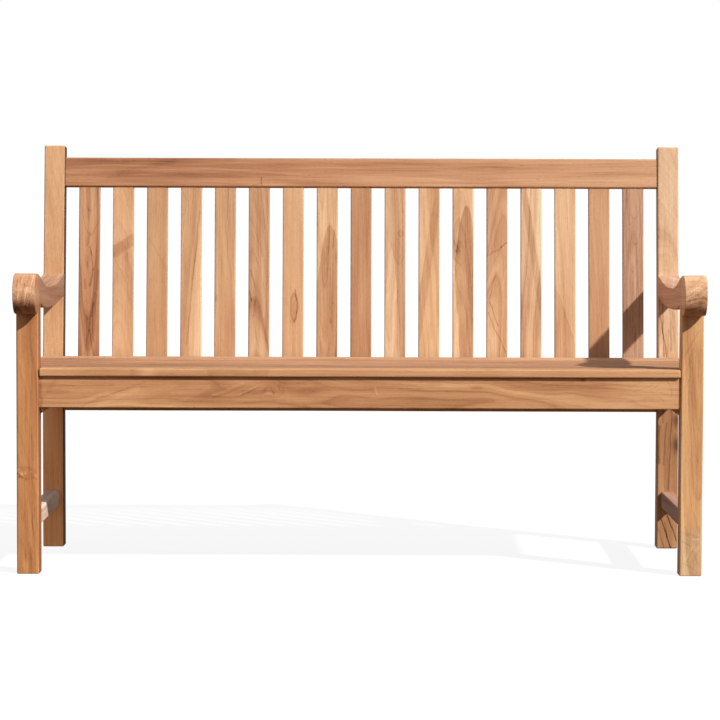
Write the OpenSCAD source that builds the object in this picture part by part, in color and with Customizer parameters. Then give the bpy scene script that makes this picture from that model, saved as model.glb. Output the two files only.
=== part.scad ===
// Slatted garden bench in solid teak, joined with mortises and tenons.
// X runs along the bench, Y from the front to the back, Z up.
// The origin is on the ground, under the middle of the bench's outline.

/* [Overall] */
// Width over the outer faces of the legs
bench_w = 1500; // [1400:10:1600]
// Height of the seat's top face
seat_h = 452; // [440:1:460]
// Height of the back posts at their front face
back_h = 948; // [930:1:980]
// Depth of the seat, from the front legs' front face to the back posts' front face
seat_d = 480; // [460:5:500]
// Lean of the back from the vertical, in degrees
lean_a = 6; // [4:0.5:8]

/* [Legs] */
// Width of every leg, seen from the front
leg_w = 49; // [45:1:52]
// Depth of the legs, seen from the side
leg_d = 47; // [46:1:50]
// Thickness of the back posts above the bend
post_t = 39.8; // [39:0.2:44]
// Radius along the front legs' edges
leg_r = 4; // [2:0.5:5]

/* [Rails] */
// Height of the front apron
apron_h = 69; // [66:1:72]
// Height of the rear seat rail
rear_rail_h = 111; // [104:1:120]
// Thickness of the apron, the rear seat rail and the top rail
rail_t = 28; // [27:1:29]
// Distance of the apron behind the legs' front face
apron_in = 5.6; // [4:0.2:6]
// Height of the side seat rails
side_rail_h = 91; // [86:1:96]
// Thickness of the side seat rails and the side stretchers
side_t = 30; // [28:1:32]
// Height of the top rail
top_rail_h = 69; // [64:1:74]
// Distance of the top rail's top edge below the posts' tops
top_rail_drop = 28; // [24:1:34]
// Height of the side stretchers
stretcher_h = 38; // [34:1:42]
// Height of the stretchers' lower edge above the ground
stretcher_z = 97; // [80:1:120]
// Distance of the two seat bearers from the middle of the bench
bearer_x = 235; // [228:1:242]

/* [Slats] */
// Width of one back slat
back_slat_w = 49.5; // [42:0.5:52]
// Thickness of one back slat
back_slat_t = 13; // [11:0.5:14]
// Clear space between the end slats and the posts
end_gap = 33; // [29:0.5:40]
// Width of one seat slat
seat_slat_w = 50; // [46:1:52]
// Thickness of the seat slats
seat_slat_t = 18; // [17:1:20]
// How far the first seat slat stands ahead of the front legs
seat_nose = 3; // [0:0.5:5]

/* [Arms] */
// Height of the arms' highest point, on top of the scroll
arm_h = 659; // [649:1:669]
// Radius of the scroll at the front of each arm
scroll_r = 44; // [42:1:46]
// How far the scroll's middle lies ahead of the front legs
scroll_out = 19; // [16:1:24]

/* [Hidden] */

$fn = 48;

frame_z = seat_h - seat_slat_t;           // top of the rails that carry the slats
knee_z = 395;                             // where the posts start to lean
post_top = (back_h - knee_z) / cos(lean_a); // length of the leaning part
top_cut = 3;                              // chamfer round the posts' tops

// depths are counted from the front legs' front face, then centred
depth_min = -scroll_out - scroll_r;
depth_max = seat_d + (post_top - top_cut) * sin(lean_a) + post_t * cos(lean_a);
y0 = (depth_min + depth_max) / 2;

leg_x = bench_w / 2 - leg_w / 2;          // middle of the legs, across
inner_x = bench_w / 2 - leg_w;            // legs' inner face
rear_rail_in = 7;                         // rear seat rail behind the posts' face
rear_rail_d = seat_d + rear_rail_in;
top_rail_in = 4;                          // top rail behind the posts' face
slat_in = 8.5;                            // back slats behind the posts' face
top_rail_s = post_top - top_rail_drop - top_rail_h; // top rail's lower edge, along the post
housing = 14;                             // depth of the slats' mortises
slat_s0 = (frame_z - knee_z + (slat_in + back_slat_t / 2) * sin(lean_a)) / cos(lean_a) - housing;
slat_s1 = top_rail_s + housing;
n_back = 17;
back_pitch = (bench_w - 2 * leg_w - back_slat_w - 2 * end_gap) / (n_back - 1);
n_seat = 8;
seat_pitch = (seat_d - 2 - seat_slat_w) / (n_seat - 1);
bearer_t = 26;
bearer_h = 60;
tenon_t = 12;                             // thickness of the rail tenons
tenon_l = 28;                             // length of the rail tenons
side_tenon_f = 20;                        // side tenons' length in the front legs
side_tenon_r = 14;                        // side tenons' length in the rear legs
cheek = 8;                                // shoulder above and below a rail tenon
peg_r = 3.95;                             // locking pegs
peg_hole_r = 4;
plug_r = 4.95;                            // plugs over the seat screws
plug_hole_r = 5;
plug_depth = 9;
head_h = 2.5;
screw_r = 2.25;
arm_screw_z = 225;                        // arm's screw, along the post
arm_under = 590;                          // top of the front legs, under the arms

// a point of the post's outline, from its depth behind the face and its place along the post
function post_point(t, s) = [seat_d + t * cos(lean_a) + s * sin(lean_a),
    knee_z - t * sin(lean_a) + s * cos(lean_a)];
back_knee_s = (leg_d - post_t * cos(lean_a)) / sin(lean_a);

// smooth curve between two points with given slopes
function bend(p, q, mp, mq, t) = let (h = q[0] - p[0])
    [p[0] + h * t, p[1] * (1 - 3 * t * t + 2 * t * t * t) + q[1] * (3 * t * t - 2 * t * t * t)
        + h * mp * (t * t * t - 2 * t * t + t) + h * mq * (t * t * t - t * t)];
arm_steps = 8;
arm_end = seat_d + 60;
// top face, from the scroll to the post: a shoulder, then a long shallow dish
arm_top = concat(
    [for (i = [0 : arm_steps]) bend([-scroll_out, arm_h], [100, arm_h - 22], 0, -0.25, i / arm_steps)],
    [for (i = [1 : arm_steps]) bend([100, arm_h - 22], [280, arm_h - 35], -0.25, 0, i / arm_steps)],
    [for (i = [1 : arm_steps]) bend([280, arm_h - 35], [arm_end, arm_h - 10.5], 0, 0.1, i / arm_steps)]);
arm_bottom = concat(
    [for (i = [0 : arm_steps]) bend([250, 576.5], [arm_end, 597], 0, 0.09, 1 - i / arm_steps)],
    [for (i = [1 : arm_steps]) bend([leg_d + 4, arm_under], [250, 576.5], -0.2, 0, 1 - i / arm_steps)]);

teak = [0.82, 0.61, 0.43];
teak_light = [0.87, 0.69, 0.51];
teak_dark = [0.70, 0.48, 0.33];
steel = [0.72, 0.73, 0.74];

// rectangle with round corners, from its low corner
module round_rect(w, h, r) {
    translate([r, 0]) square([w - 2 * r, h]);
    translate([0, r]) square([w, h - 2 * r]);
    for (x = [r, w - r], y = [r, h - r]) translate([x, y]) circle(r);
}

// moves a child to its depth behind the front legs' front face
module at_depth(d) { translate([0, d - y0, 0]) children(); }

// the frame of the leaning posts: Y behind their front face, Z along them
module leaning() {
    at_depth(seat_d) translate([0, 0, knee_z]) rotate([-lean_a, 0, 0]) children();
}

// a child on the left side is drawn as it is, and mirrored on the right side
module on_side(s) { if (s < 0) children(); else mirror([1, 0, 0]) children(); }

// board along X with round long edges
module board_x(x0, x1, d0, z0, t, h, r) {
    at_depth(d0) translate([x0, 0, z0]) rotate([90, 0, 90])
        linear_extrude(x1 - x0) round_rect(t, h, r);
}

// block between two X values, two depths and two heights
module block(x0, x1, d0, d1, z0, z1) {
    at_depth(d0) translate([x0, 0, z0]) cube([x1 - x0, d1 - d0, z1 - z0]);
}

// ---- tenons, shared by the piece that has them and the piece that takes them

module apron_tenon(extra = 0) {
    block(-inner_x - tenon_l - extra, -inner_x, apron_in + 8.4, apron_in + 19.4,
        frame_z - apron_h + cheek, frame_z - cheek);
}
module rear_rail_tenon(extra = 0) {
    block(-inner_x - tenon_l - extra, -inner_x, rear_rail_d + 8, rear_rail_d + 8 + tenon_t,
        frame_z - rear_rail_h + cheek, frame_z - cheek);
}
module top_rail_tenon(extra = 0) {
    leaning() translate([-inner_x - tenon_l - extra, top_rail_in + 8, top_rail_s + cheek])
        cube([tenon_l + extra, tenon_t, top_rail_h - 2 * cheek]);
}
module side_rail_tenons(extra = 0) {
    block(-leg_x - tenon_t / 2, -leg_x + tenon_t / 2, leg_d - side_tenon_f - extra, leg_d,
        frame_z - side_rail_h + 9, frame_z - 9);
    block(-leg_x - tenon_t / 2, -leg_x + tenon_t / 2, seat_d, seat_d + side_tenon_r + extra / 2,
        frame_z - side_rail_h + 9, frame_z - 9);
}
module stretcher_tenons(extra = 0) {
    block(-leg_x - tenon_t / 2, -leg_x + tenon_t / 2, leg_d - side_tenon_f - extra, leg_d,
        stretcher_z + 5, stretcher_z + stretcher_h - 5);
    block(-leg_x - tenon_t / 2, -leg_x + tenon_t / 2, seat_d, seat_d + side_tenon_f + extra,
        stretcher_z + 5, stretcher_z + stretcher_h - 5);
}
module leg_tenon(extra = 0) {
    block(-leg_x - 8, -leg_x + 8, 12, 36, arm_under, arm_under + 34 + extra);
}
module arm_tenon(extra = 0) {
    leaning() translate([-leg_x - 8, 0, arm_screw_z - 15]) cube([16, 16 + extra, 30]);
}
module bearer_tenons(x, extra = 0) {
    block(x - 6, x + 6, apron_in + rail_t - 12 - extra, apron_in + rail_t, frame_z - 54, frame_z - 20);
    block(x - 6, x + 6, rear_rail_d, rear_rail_d + 12 + extra, frame_z - 54, frame_z - 20);
}

// ---- pegs, screws and plugs, with their holes

module peg_x(d, z, r) {
    at_depth(d) translate([-bench_w / 2, 0, z]) rotate([0, 90, 0])
        cylinder(h = bench_w / 2 - leg_x + 10.5, r = r);
}
module side_rail_peg_set(r) {
    for (d = [leg_d - 10, seat_d + side_tenon_r / 2], z = [frame_z - 69, frame_z - 22]) peg_x(d, z, r);
}
module stretcher_peg_set(r) {
    for (d = [leg_d - 10, seat_d + 10]) peg_x(d, stretcher_z + stretcher_h / 2, r);
}
module arm_peg(r) { peg_x(24, arm_under + 17, r); }
module top_rail_peg_set(r) {
    for (s = [top_rail_s + 21, top_rail_s + top_rail_h - 21])
        leaning() translate([-inner_x - 12, 8, s]) rotate([-90, 0, 0]) cylinder(h = post_t - 8, r = r);
}
module rear_rail_peg_set(r) {
    for (z = [frame_z - 50, frame_z - 23])
        at_depth(rear_rail_d + 4) translate([-inner_x - 12, 0, z]) rotate([-90, 0, 0])
            cylinder(h = seat_d + leg_d - rear_rail_d - 4, r = r);
}
function seat_depth(k) = k == 1 ? -seat_nose : (k - 1) * seat_pitch;
function screw_d(k) = k == 1 ? apron_in + rail_t / 2 : seat_depth(k) + seat_slat_w / 2;
function screw_xs(k) = k == 1
    ? [-inner_x + 35, -bearer_x, bearer_x, inner_x - 35]
    : [-leg_x, -bearer_x, bearer_x, leg_x];
module seat_screw(x, d) {
    at_depth(d) translate([x, 0, seat_h - plug_depth]) {
        cylinder(h = head_h, r = 4.25);
        translate([0, 0, -28]) cylinder(h = 28, r = screw_r);
    }
}
module seat_plug(x, d) {
    at_depth(d) translate([x, 0, seat_h - plug_depth + head_h])
        cylinder(h = plug_depth - head_h, r = plug_r);
}
module seat_screw_hole(x, d) {
    at_depth(d) translate([x, 0, seat_h - plug_depth]) {
        cylinder(h = plug_depth + 1, r = plug_hole_r);
        translate([0, 0, -30]) cylinder(h = 31, r = screw_r + 0.15);
    }
}
module arm_screw_axis() { leaning() translate([-leg_x, 0, arm_screw_z]) rotate([-90, 0, 0]) children(); }
module arm_screw_hole() {
    arm_screw_axis() {
        translate([0, 0, post_t - 10]) cylinder(h = 12, r = plug_hole_r);
        translate([0, 0, -38]) cylinder(h = post_t + 30, r = screw_r + 0.15);
    }
}

// ---- legs

module front_leg(s) {
    color(teak) on_side(s) difference() {
        union() {
            intersection() {
                at_depth(0) translate([-bench_w / 2, 0, 0]) linear_extrude(arm_under)
                    round_rect(leg_w, leg_d, leg_r);
                at_depth(0) translate([-bench_w / 2, leg_d + 1, 0]) rotate([90, 0, 0])
                    linear_extrude(leg_d + 2) foot_outline(leg_w, arm_under);
                translate([-bench_w / 2 - 1, 0, 0]) at_depth(0) rotate([90, 0, 90])
                    linear_extrude(leg_w + 2) foot_outline(leg_d, arm_under);
            }
            leg_tenon();
        }
        apron_tenon(1);
        side_rail_tenons(1);
        stretcher_tenons(1);
        side_rail_peg_set(peg_hole_r);
        stretcher_peg_set(peg_hole_r);
        arm_peg(peg_hole_r);
    }
}
// outline of a leg with its foot chamfered
module foot_outline(w, h) {
    polygon([[2, 0], [w - 2, 0], [w, 2], [w, h], [0, h], [0, 2]]);
}

module rear_leg(s) {
    color(teak_dark) on_side(s) difference() {
        intersection() {
            at_depth(0) translate([-bench_w / 2, 0, 0]) rotate([90, 0, 90]) linear_extrude(leg_w)
                polygon([[seat_d + 2, 0], [seat_d + leg_d - 2, 0], [seat_d + leg_d, 2],
                    post_point(post_t, back_knee_s),
                    post_point(post_t, post_top - top_cut), post_point(post_t - top_cut, post_top),
                    post_point(top_cut, post_top), post_point(0, post_top - top_cut),
                    [seat_d, knee_z], [seat_d, 2]]);
            at_depth(depth_max + 10) translate([-bench_w / 2, 0, 0]) rotate([90, 0, 0])
                linear_extrude(depth_max + 20) polygon([[2, 0], [leg_w - 2, 0], [leg_w, 2],
                    [leg_w, back_h - top_cut * cos(lean_a)], [leg_w - top_cut, back_h + 0.1],
                    [top_cut, back_h + 0.1], [0, back_h - top_cut * cos(lean_a)], [0, 2]]);
        }
        rear_rail_tenon(1);
        top_rail_tenon(1);
        side_rail_tenons(1);
        stretcher_tenons(1);
        arm_tenon(1);
        side_rail_peg_set(peg_hole_r);
        stretcher_peg_set(peg_hole_r);
        top_rail_peg_set(peg_hole_r);
        rear_rail_peg_set(peg_hole_r);
        arm_screw_hole();
    }
}

// ---- arms

module arm(s) {
    color(teak_light) on_side(s) difference() {
        union() {
            intersection() {
                at_depth(0) translate([-bench_w / 2, 0, 0]) rotate([90, 0, 90]) linear_extrude(leg_w)
                    union() {
                        polygon(concat(arm_top, arm_bottom, [[0, arm_under], [0, arm_h - scroll_r], [-scroll_out, arm_h - scroll_r]]));
                        translate([-scroll_out, arm_h - scroll_r]) intersection() {
                            circle(scroll_r, $fn = 96);
                            translate([-scroll_r - 1, -scroll_r - 1]) square([scroll_r + scroll_out + 1, 2 * scroll_r + 2]);
                        }
                    }
                leaning() translate([-bench_w, -900, -600]) cube([bench_w * 2, 900, 1500]);
            }
            arm_tenon();
        }
        leg_tenon(1);
        arm_peg(peg_hole_r);
        arm_screw_hole();
    }
}

// ---- rails

module side_rail(s) {
    color(teak) on_side(s) difference() {
        union() {
            at_depth(seat_d) translate([-leg_x - side_t / 2, 0, frame_z - side_rail_h]) rotate([90, 0, 0])
                linear_extrude(seat_d - leg_d) round_rect(side_t, side_rail_h, 2.5);
            side_rail_tenons();
        }
        side_rail_peg_set(peg_hole_r);
        for (k = [2 : n_seat]) seat_screw_hole(-leg_x, screw_d(k));
    }
}
module side_stretcher(s) {
    color(teak) on_side(s) difference() {
        union() {
            at_depth(seat_d) translate([-leg_x - side_t / 2, 0, stretcher_z]) rotate([90, 0, 0])
                linear_extrude(seat_d - leg_d) round_rect(side_t, stretcher_h, 3);
            stretcher_tenons();
        }
        stretcher_peg_set(peg_hole_r);
    }
}
module front_apron() {
    color(teak) difference() {
        union() {
            board_x(-inner_x, inner_x, apron_in, frame_z - apron_h, rail_t, apron_h, 3);
            apron_tenon();
            mirror([1, 0, 0]) apron_tenon();
        }
        for (x = [-bearer_x, bearer_x]) bearer_tenons(x, 1);
        for (x = screw_xs(1)) seat_screw_hole(x, screw_d(1));
    }
}
module rear_seat_rail() {
    color(teak_dark) difference() {
        union() {
            board_x(-inner_x, inner_x, rear_rail_d, frame_z - rear_rail_h, rail_t, rear_rail_h, 3);
            rear_rail_tenon();
            mirror([1, 0, 0]) rear_rail_tenon();
        }
        for (x = [-bearer_x, bearer_x]) bearer_tenons(x, 1);
        for (i = [1 : n_back]) slat_block(i);
        rear_rail_peg_set(peg_hole_r);
        mirror([1, 0, 0]) rear_rail_peg_set(peg_hole_r);
    }
}
module top_rail() {
    color(teak_dark) difference() {
        union() {
            leaning() translate([-inner_x, top_rail_in, top_rail_s]) rotate([90, 0, 90])
                linear_extrude(2 * inner_x) round_rect(rail_t, top_rail_h, 4);
            top_rail_tenon();
            mirror([1, 0, 0]) top_rail_tenon();
        }
        for (i = [1 : n_back]) slat_block(i);
        top_rail_peg_set(peg_hole_r);
        mirror([1, 0, 0]) top_rail_peg_set(peg_hole_r);
    }
}
module seat_bearer(x) {
    color(teak) difference() {
        union() {
            at_depth(rear_rail_d) translate([x - bearer_t / 2, 0, frame_z - bearer_h]) rotate([90, 0, 0])
                linear_extrude(rear_rail_d - apron_in - rail_t) round_rect(bearer_t, bearer_h, 2);
            bearer_tenons(x);
        }
        for (k = [2 : n_seat]) seat_screw_hole(x, screw_d(k));
    }
}

// ---- slats

function slat_x(i) = (i - (n_back + 1) / 2) * back_pitch;
module slat_block(i) {
    leaning() translate([slat_x(i) - back_slat_w / 2, slat_in, slat_s0])
        cube([back_slat_w, back_slat_t, slat_s1 - slat_s0]);
}
module back_slat(i) {
    color(i % 3 == 0 ? teak_light : i % 3 == 1 ? teak : teak_dark)
    leaning() translate([slat_x(i) - back_slat_w / 2, slat_in, slat_s0])
        linear_extrude(slat_s1 - slat_s0) round_rect(back_slat_w, back_slat_t, 2.5);
}
module seat_slat(k) {
    half = k == 1 ? inner_x - 1 : bench_w / 2;
    color(k % 2 == 0 ? teak_light : teak) difference() {
        intersection() {
            board_x(-half, half, seat_depth(k), frame_z, seat_slat_w, seat_slat_t, 3);
            at_depth(seat_depth(k)) translate([-half, 0, frame_z]) linear_extrude(seat_slat_t)
                round_rect(2 * half, seat_slat_w, 3);
            at_depth(seat_depth(k) + seat_slat_w + 1) translate([-half, 0, frame_z]) rotate([90, 0, 0])
                linear_extrude(seat_slat_w + 2) round_rect(2 * half, seat_slat_t, 3);
        }
        for (x = screw_xs(k)) seat_screw_hole(x, screw_d(k));
    }
}

// ---- fasteners

module seat_screws() { color(steel) for (k = [1 : n_seat], x = screw_xs(k)) seat_screw(x, screw_d(k)); }
module seat_plugs() { color(teak_dark) for (k = [1 : n_seat], x = screw_xs(k)) seat_plug(x, screw_d(k)); }
module top_rail_pegs() { color(teak_dark) for (s = [-1, 1]) on_side(s) top_rail_peg_set(peg_r); }
module rear_rail_pegs() { color(teak_dark) for (s = [-1, 1]) on_side(s) rear_rail_peg_set(peg_r); }
module side_rail_pegs() { color(teak_dark) for (s = [-1, 1]) on_side(s) side_rail_peg_set(peg_r); }
module stretcher_pegs() { color(teak_dark) for (s = [-1, 1]) on_side(s) stretcher_peg_set(peg_r); }
module arm_pegs() { color(teak_dark) for (s = [-1, 1]) on_side(s) arm_peg(peg_r); }
module arm_screws() {
    color(steel) for (s = [-1, 1]) on_side(s) arm_screw_axis() {
        translate([0, 0, post_t - 10]) cylinder(h = head_h, r = 4.25);
        translate([0, 0, -36]) cylinder(h = post_t + 26, r = screw_r);
    }
}
module arm_plugs() {
    color(teak_dark) for (s = [-1, 1]) on_side(s) arm_screw_axis()
        translate([0, 0, post_t - 10 + head_h]) cylinder(h = 10 - head_h, r = plug_r);
}

front_leg(-1);  // front_leg_left
front_leg(1);  // front_leg_right
rear_leg(-1);  // rear_leg_left
rear_leg(1);  // rear_leg_right
arm(-1);  // arm_left
arm(1);  // arm_right
side_rail(-1);  // side_rail_left
side_rail(1);  // side_rail_right
side_stretcher(-1);  // side_stretcher_left
side_stretcher(1);  // side_stretcher_right
front_apron();
rear_seat_rail();
top_rail();
seat_bearer(-bearer_x);  // seat_bearer_left
seat_bearer(bearer_x);  // seat_bearer_right
back_slat(1);  // back_slat_01
back_slat(2);  // back_slat_02
back_slat(3);  // back_slat_03
back_slat(4);  // back_slat_04
back_slat(5);  // back_slat_05
back_slat(6);  // back_slat_06
back_slat(7);  // back_slat_07
back_slat(8);  // back_slat_08
back_slat(9);  // back_slat_09
back_slat(10);  // back_slat_10
back_slat(11);  // back_slat_11
back_slat(12);  // back_slat_12
back_slat(13);  // back_slat_13
back_slat(14);  // back_slat_14
back_slat(15);  // back_slat_15
back_slat(16);  // back_slat_16
back_slat(17);  // back_slat_17
seat_slat(1);  // seat_slat_1
seat_slat(2);  // seat_slat_2
seat_slat(3);  // seat_slat_3
seat_slat(4);  // seat_slat_4
seat_slat(5);  // seat_slat_5
seat_slat(6);  // seat_slat_6
seat_slat(7);  // seat_slat_7
seat_slat(8);  // seat_slat_8
seat_screws();
seat_plugs();
top_rail_pegs();
rear_rail_pegs();
side_rail_pegs();
stretcher_pegs();
arm_pegs();
arm_screws();
arm_plugs();
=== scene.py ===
import math
import bpy
import bmesh
from mathutils import Vector, Matrix, noise


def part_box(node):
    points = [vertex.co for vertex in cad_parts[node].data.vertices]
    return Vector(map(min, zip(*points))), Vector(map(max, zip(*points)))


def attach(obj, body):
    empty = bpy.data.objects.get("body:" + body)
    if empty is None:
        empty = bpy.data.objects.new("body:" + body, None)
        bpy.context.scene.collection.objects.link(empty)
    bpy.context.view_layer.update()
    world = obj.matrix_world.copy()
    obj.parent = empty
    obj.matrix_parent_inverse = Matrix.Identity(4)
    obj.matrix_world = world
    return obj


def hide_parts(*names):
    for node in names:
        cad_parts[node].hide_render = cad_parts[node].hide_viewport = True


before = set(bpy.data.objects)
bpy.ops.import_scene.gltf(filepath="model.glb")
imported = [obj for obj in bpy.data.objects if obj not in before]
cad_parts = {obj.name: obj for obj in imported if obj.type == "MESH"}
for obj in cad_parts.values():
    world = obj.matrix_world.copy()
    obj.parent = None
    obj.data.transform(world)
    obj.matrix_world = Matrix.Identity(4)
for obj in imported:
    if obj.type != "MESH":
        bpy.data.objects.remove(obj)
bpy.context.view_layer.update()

MM = 0.001
X, Y, Z = Vector((1, 0, 0)), Vector((0, 1, 0)), Vector((0, 0, 1))

# ---------------------------------------------------------------- the frame's own sizes


def span(node, axis):
    lo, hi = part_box(node)
    return lo[axis], hi[axis]


Y0 = span("front_leg_left", 1)[0]  # the front legs' front face
HALF = -span("front_leg_left", 0)[0]  # outer face of the legs
LEG_W = span("front_leg_left", 0)[1] - span("front_leg_left", 0)[0]
LEG_D = span("front_leg_left", 1)[1] - span("front_leg_left", 1)[0]
INNER = HALF - LEG_W
SEAT_Z = span("seat_slat_4", 2)[1]
RAIL_Z = span("seat_slat_4", 2)[0]
POST_Y = span("rear_leg_left", 1)[0] - Y0  # depth of the rear legs' front face
LEAN = math.radians(6.0)
KNEE_Z = 0.395
POST_T = 0.0398
LEG_MID = HALF - LEG_W / 2
UP = Vector((0, math.sin(LEAN), math.cos(LEAN)))  # along the leaning posts
BACK = Vector((0, math.cos(LEAN), -math.sin(LEAN)))  # through their thickness


def at(x, d, z):
    """A point from its X, its depth behind the front legs' face, and its height."""
    return Vector((x, Y0 + d, z))


def leaned(x, t, s):
    """A point in the posts' frame: t behind their front face, s along them from the bend."""
    return at(x, POST_Y, KNEE_Z) + BACK * t + UP * s


POST_TOP = (0.948 - KNEE_Z) / math.cos(LEAN)
RAIL_S = POST_TOP - 0.097  # the top rail's lower edge, along the posts
RAIL_H = 0.069
SLAT_S0 = (RAIL_Z - KNEE_Z + 0.015 * math.sin(LEAN)) / math.cos(LEAN) - 0.014
SLAT_S1 = RAIL_S + 0.014
SLAT_W = span("back_slat_01", 0)[1] - span("back_slat_01", 0)[0]
PITCH = (span("back_slat_17", 0)[0] - span("back_slat_01", 0)[0]) / 16
SEAT_PITCH = (POST_Y - 0.002 - 0.050) / 7

# ---------------------------------------------------------------- mesh building


def section(w, t, r, nw, nt, nc=5):
    """Points round a w by t rectangle with round corners."""
    r = max(min(r, w / 2 - 1e-5, t / 2 - 1e-5), 1e-5)
    hw, ht = w / 2 - r, t / 2 - r
    centres = [(hw, ht), (-hw, ht), (-hw, -ht), (hw, -ht)]
    pts = []
    for k in range(4):
        cx, cy = centres[k]
        for i in range(nc + 1):
            a = math.radians(90 * k + 90 * i / nc)
            pts.append((cx + r * math.cos(a), cy + r * math.sin(a)))
        a = math.radians(90 * (k + 1))
        nx, ny = centres[(k + 1) % 4]
        x1, y1 = nx + r * math.cos(a), ny + r * math.sin(a)
        x0, y0 = pts[-1]
        n = nw if k % 2 == 0 else nt
        for i in range(1, n):
            pts.append((x0 + (x1 - x0) * i / n, y0 + (y1 - y0) * i / n))
    return pts


def close_rings(bm, rings):
    for a, b in zip(rings, rings[1:]):
        n = len(a)
        for i in range(n):
            bm.faces.new((a[i], a[(i + 1) % n], b[(i + 1) % n], b[i]))
    bm.faces.new(list(reversed(rings[0])))
    bm.faces.new(rings[-1])
    bmesh.ops.recalc_face_normals(bm, faces=bm.faces)


def as_object(name, bm):
    me = bpy.data.meshes.new(name)
    bm.to_mesh(me)
    bm.free()
    ob = bpy.data.objects.new(name, me)
    bpy.context.scene.collection.objects.link(ob)
    return ob


def board(name, origin, along, wide, w, t, stations, r, seed, nw=6, nt=3, step=0.028):
    """A sawn board, lofted along its grain. Stations are (place, width, thickness, radius)
    or (place, width, thickness, radius, shift across, shift through)."""
    thick = along.cross(wide).normalized()
    bm = bmesh.new()
    full = []
    for a, b in zip(stations, stations[1:]):
        full.append(a)
        gap = b[0] - a[0]
        n = int(gap / step)
        for i in range(1, n):
            f = i / n
            full.append(tuple(p + (q - p) * f for p, q in zip(a, b)))
    full.append(stations[-1])
    rings = []
    for st in full:
        l, sw, sth, sr = st[:4]
        du, dv = (st[4], st[5]) if len(st) > 4 else (0.0, 0.0)
        ease = 1 + 0.22 * noise.noise(Vector((l * 7, seed * 3.1, 0.3)))
        if sr > 0.0015:
            sr *= ease
        bow = Vector((noise.noise(Vector((l * 2.1, seed, 7.7))), noise.noise(Vector((l * 2.3, seed, 1.9))), 0)) * 0.00025
        ring = []
        for u, v in section(sw, sth, sr, nw, nt):
            p = origin + along * l + wide * (u + du + bow.x) + thick * (v + dv + bow.y)
            ring.append(bm.verts.new(p))
        rings.append(ring)
    close_rings(bm, rings)
    ob = as_object(name, bm)
    ob["axes"] = 0
    return ob, (origin, along, wide, thick)


def eased_end(place, sign, w, t, r, e, n=4):
    """Stations that round a board's end at place; sign is +1 where the board starts."""
    out = []
    for i in range(n + 1):
        a = math.radians(90 * i / n)
        inset = e * (1 - math.sin(a))
        out.append((place + sign * e * (1 - math.cos(a)), w - 2 * inset, t - 2 * inset, max(r - inset, 0.0004)))
    return out if sign > 0 else out[::-1]


def tenon_end(place, sign, w, t, r, tw, tt, length, du=0.0, dv=0.0):
    """Stations for a tenon past the shoulder at place; sign is +1 where the board starts."""
    e = 0.0006
    out = [
        (place - sign * length, tw - 0.002, tt - 0.002, 0.0003, du, dv),
        (place - sign * (length - 0.001), tw, tt, 0.0003, du, dv),
        (place, tw, tt, 0.0003, du, dv),
        (place, w - 2 * e, t - 2 * e, max(r - e, 0.0004), 0, 0),
        (place + sign * e, w, t, r, 0, 0),
    ]
    return out if sign > 0 else out[::-1]


def six(stations):
    return [s if len(s) == 6 else s + (0.0, 0.0) for s in stations]


def fillet(points, radii, n=6, closed=True):
    """A polygon with its corners rounded."""
    out = []
    m = len(points)
    for i in range(m):
        p, a, b = Vector(points[i]), Vector(points[i - 1]), Vector(points[(i + 1) % m])
        r = radii[i]
        da, db = (a - p).normalized(), (b - p).normalized()
        if r <= 0:
            out.append(p)
            continue
        half = math.acos(max(-1, min(1, da.dot(db)))) / 2
        cut = r / math.tan(half)
        c = p + (da + db).normalized() * (r / math.sin(half))
        s, e = p + da * cut - c, p + db * cut - c
        turn = math.atan2(s.x * e.y - s.y * e.x, s.dot(e))
        for k in range(n + 1):
            g = turn * k / n
            out.append(c + Vector((s.x * math.cos(g) - s.y * math.sin(g), s.x * math.sin(g) + s.y * math.cos(g))))
    return out


def divided(points, step):
    out = []
    m = len(points)
    for i in range(m):
        a, b = points[i], points[(i + 1) % m]
        k = max(1, int((b - a).length / step))
        out += [a + (b - a) * j / k for j in range(k)]
    return out


def area(points):
    return sum(points[i - 1].x * points[i].y - points[i].x * points[i - 1].y for i in range(len(points))) / 2


def sawn(name, outline, x0, x1, r, n=5, across=4, keep=None):
    """A piece sawn to an outline (depth, height) from a plank, with its edges rounded over."""
    if area(outline) < 0:
        outline = outline[::-1]
    m = len(outline)
    inward = []
    for i in range(m):
        e0 = (outline[i] - outline[i - 1]).normalized()
        e1 = (outline[(i + 1) % m] - outline[i]).normalized()
        n0, n1 = Vector((-e0.y, e0.x)), Vector((-e1.y, e1.x))
        b = (n0 + n1).normalized()
        inward.append(b * min(1 / max(b.dot(n0), 0.3), 1.42))
    bm = bmesh.new()
    places = []
    for i in range(n + 1):
        a = math.radians(90 * i / n)
        places.append((r * (1 - math.cos(a)), r * (1 - math.sin(a))))
    inner = x1 - x0 - 2 * r
    for i in range(1, across):
        places.append((r + inner * i / across, 0.0))
    places += [(x1 - x0 - q, inset) for q, inset in reversed(places[: n + 1])]
    rings = []
    for q, inset in places:
        ring = []
        for p, b in zip(outline, inward):
            k = keep(p) if keep else 1.0
            v = p + b * inset * k
            ring.append(bm.verts.new(at(x0 + q, v.x, v.y)))
        rings.append(ring)
    close_rings(bm, rings)
    return as_object(name, bm)


def lathe_into(bm, origin, axis, profile, n=28):
    """A closed turned shape: the profile is (along, radius) from one end to the other."""
    side = axis.orthogonal().normalized()
    other = axis.cross(side)
    rings = []
    for h, rad in profile:
        rings.append([bm.verts.new(origin + axis * h + (side * math.cos(2 * math.pi * i / n) + other * math.sin(2 * math.pi * i / n)) * rad) for i in range(n)])
    faces = []
    for a, b in zip(rings, rings[1:]):
        for i in range(n):
            faces.append(bm.faces.new((a[i], a[(i + 1) % n], b[(i + 1) % n], b[i])))
    faces.append(bm.faces.new(list(reversed(rings[0]))))
    faces.append(bm.faces.new(rings[-1]))
    return faces


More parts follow.
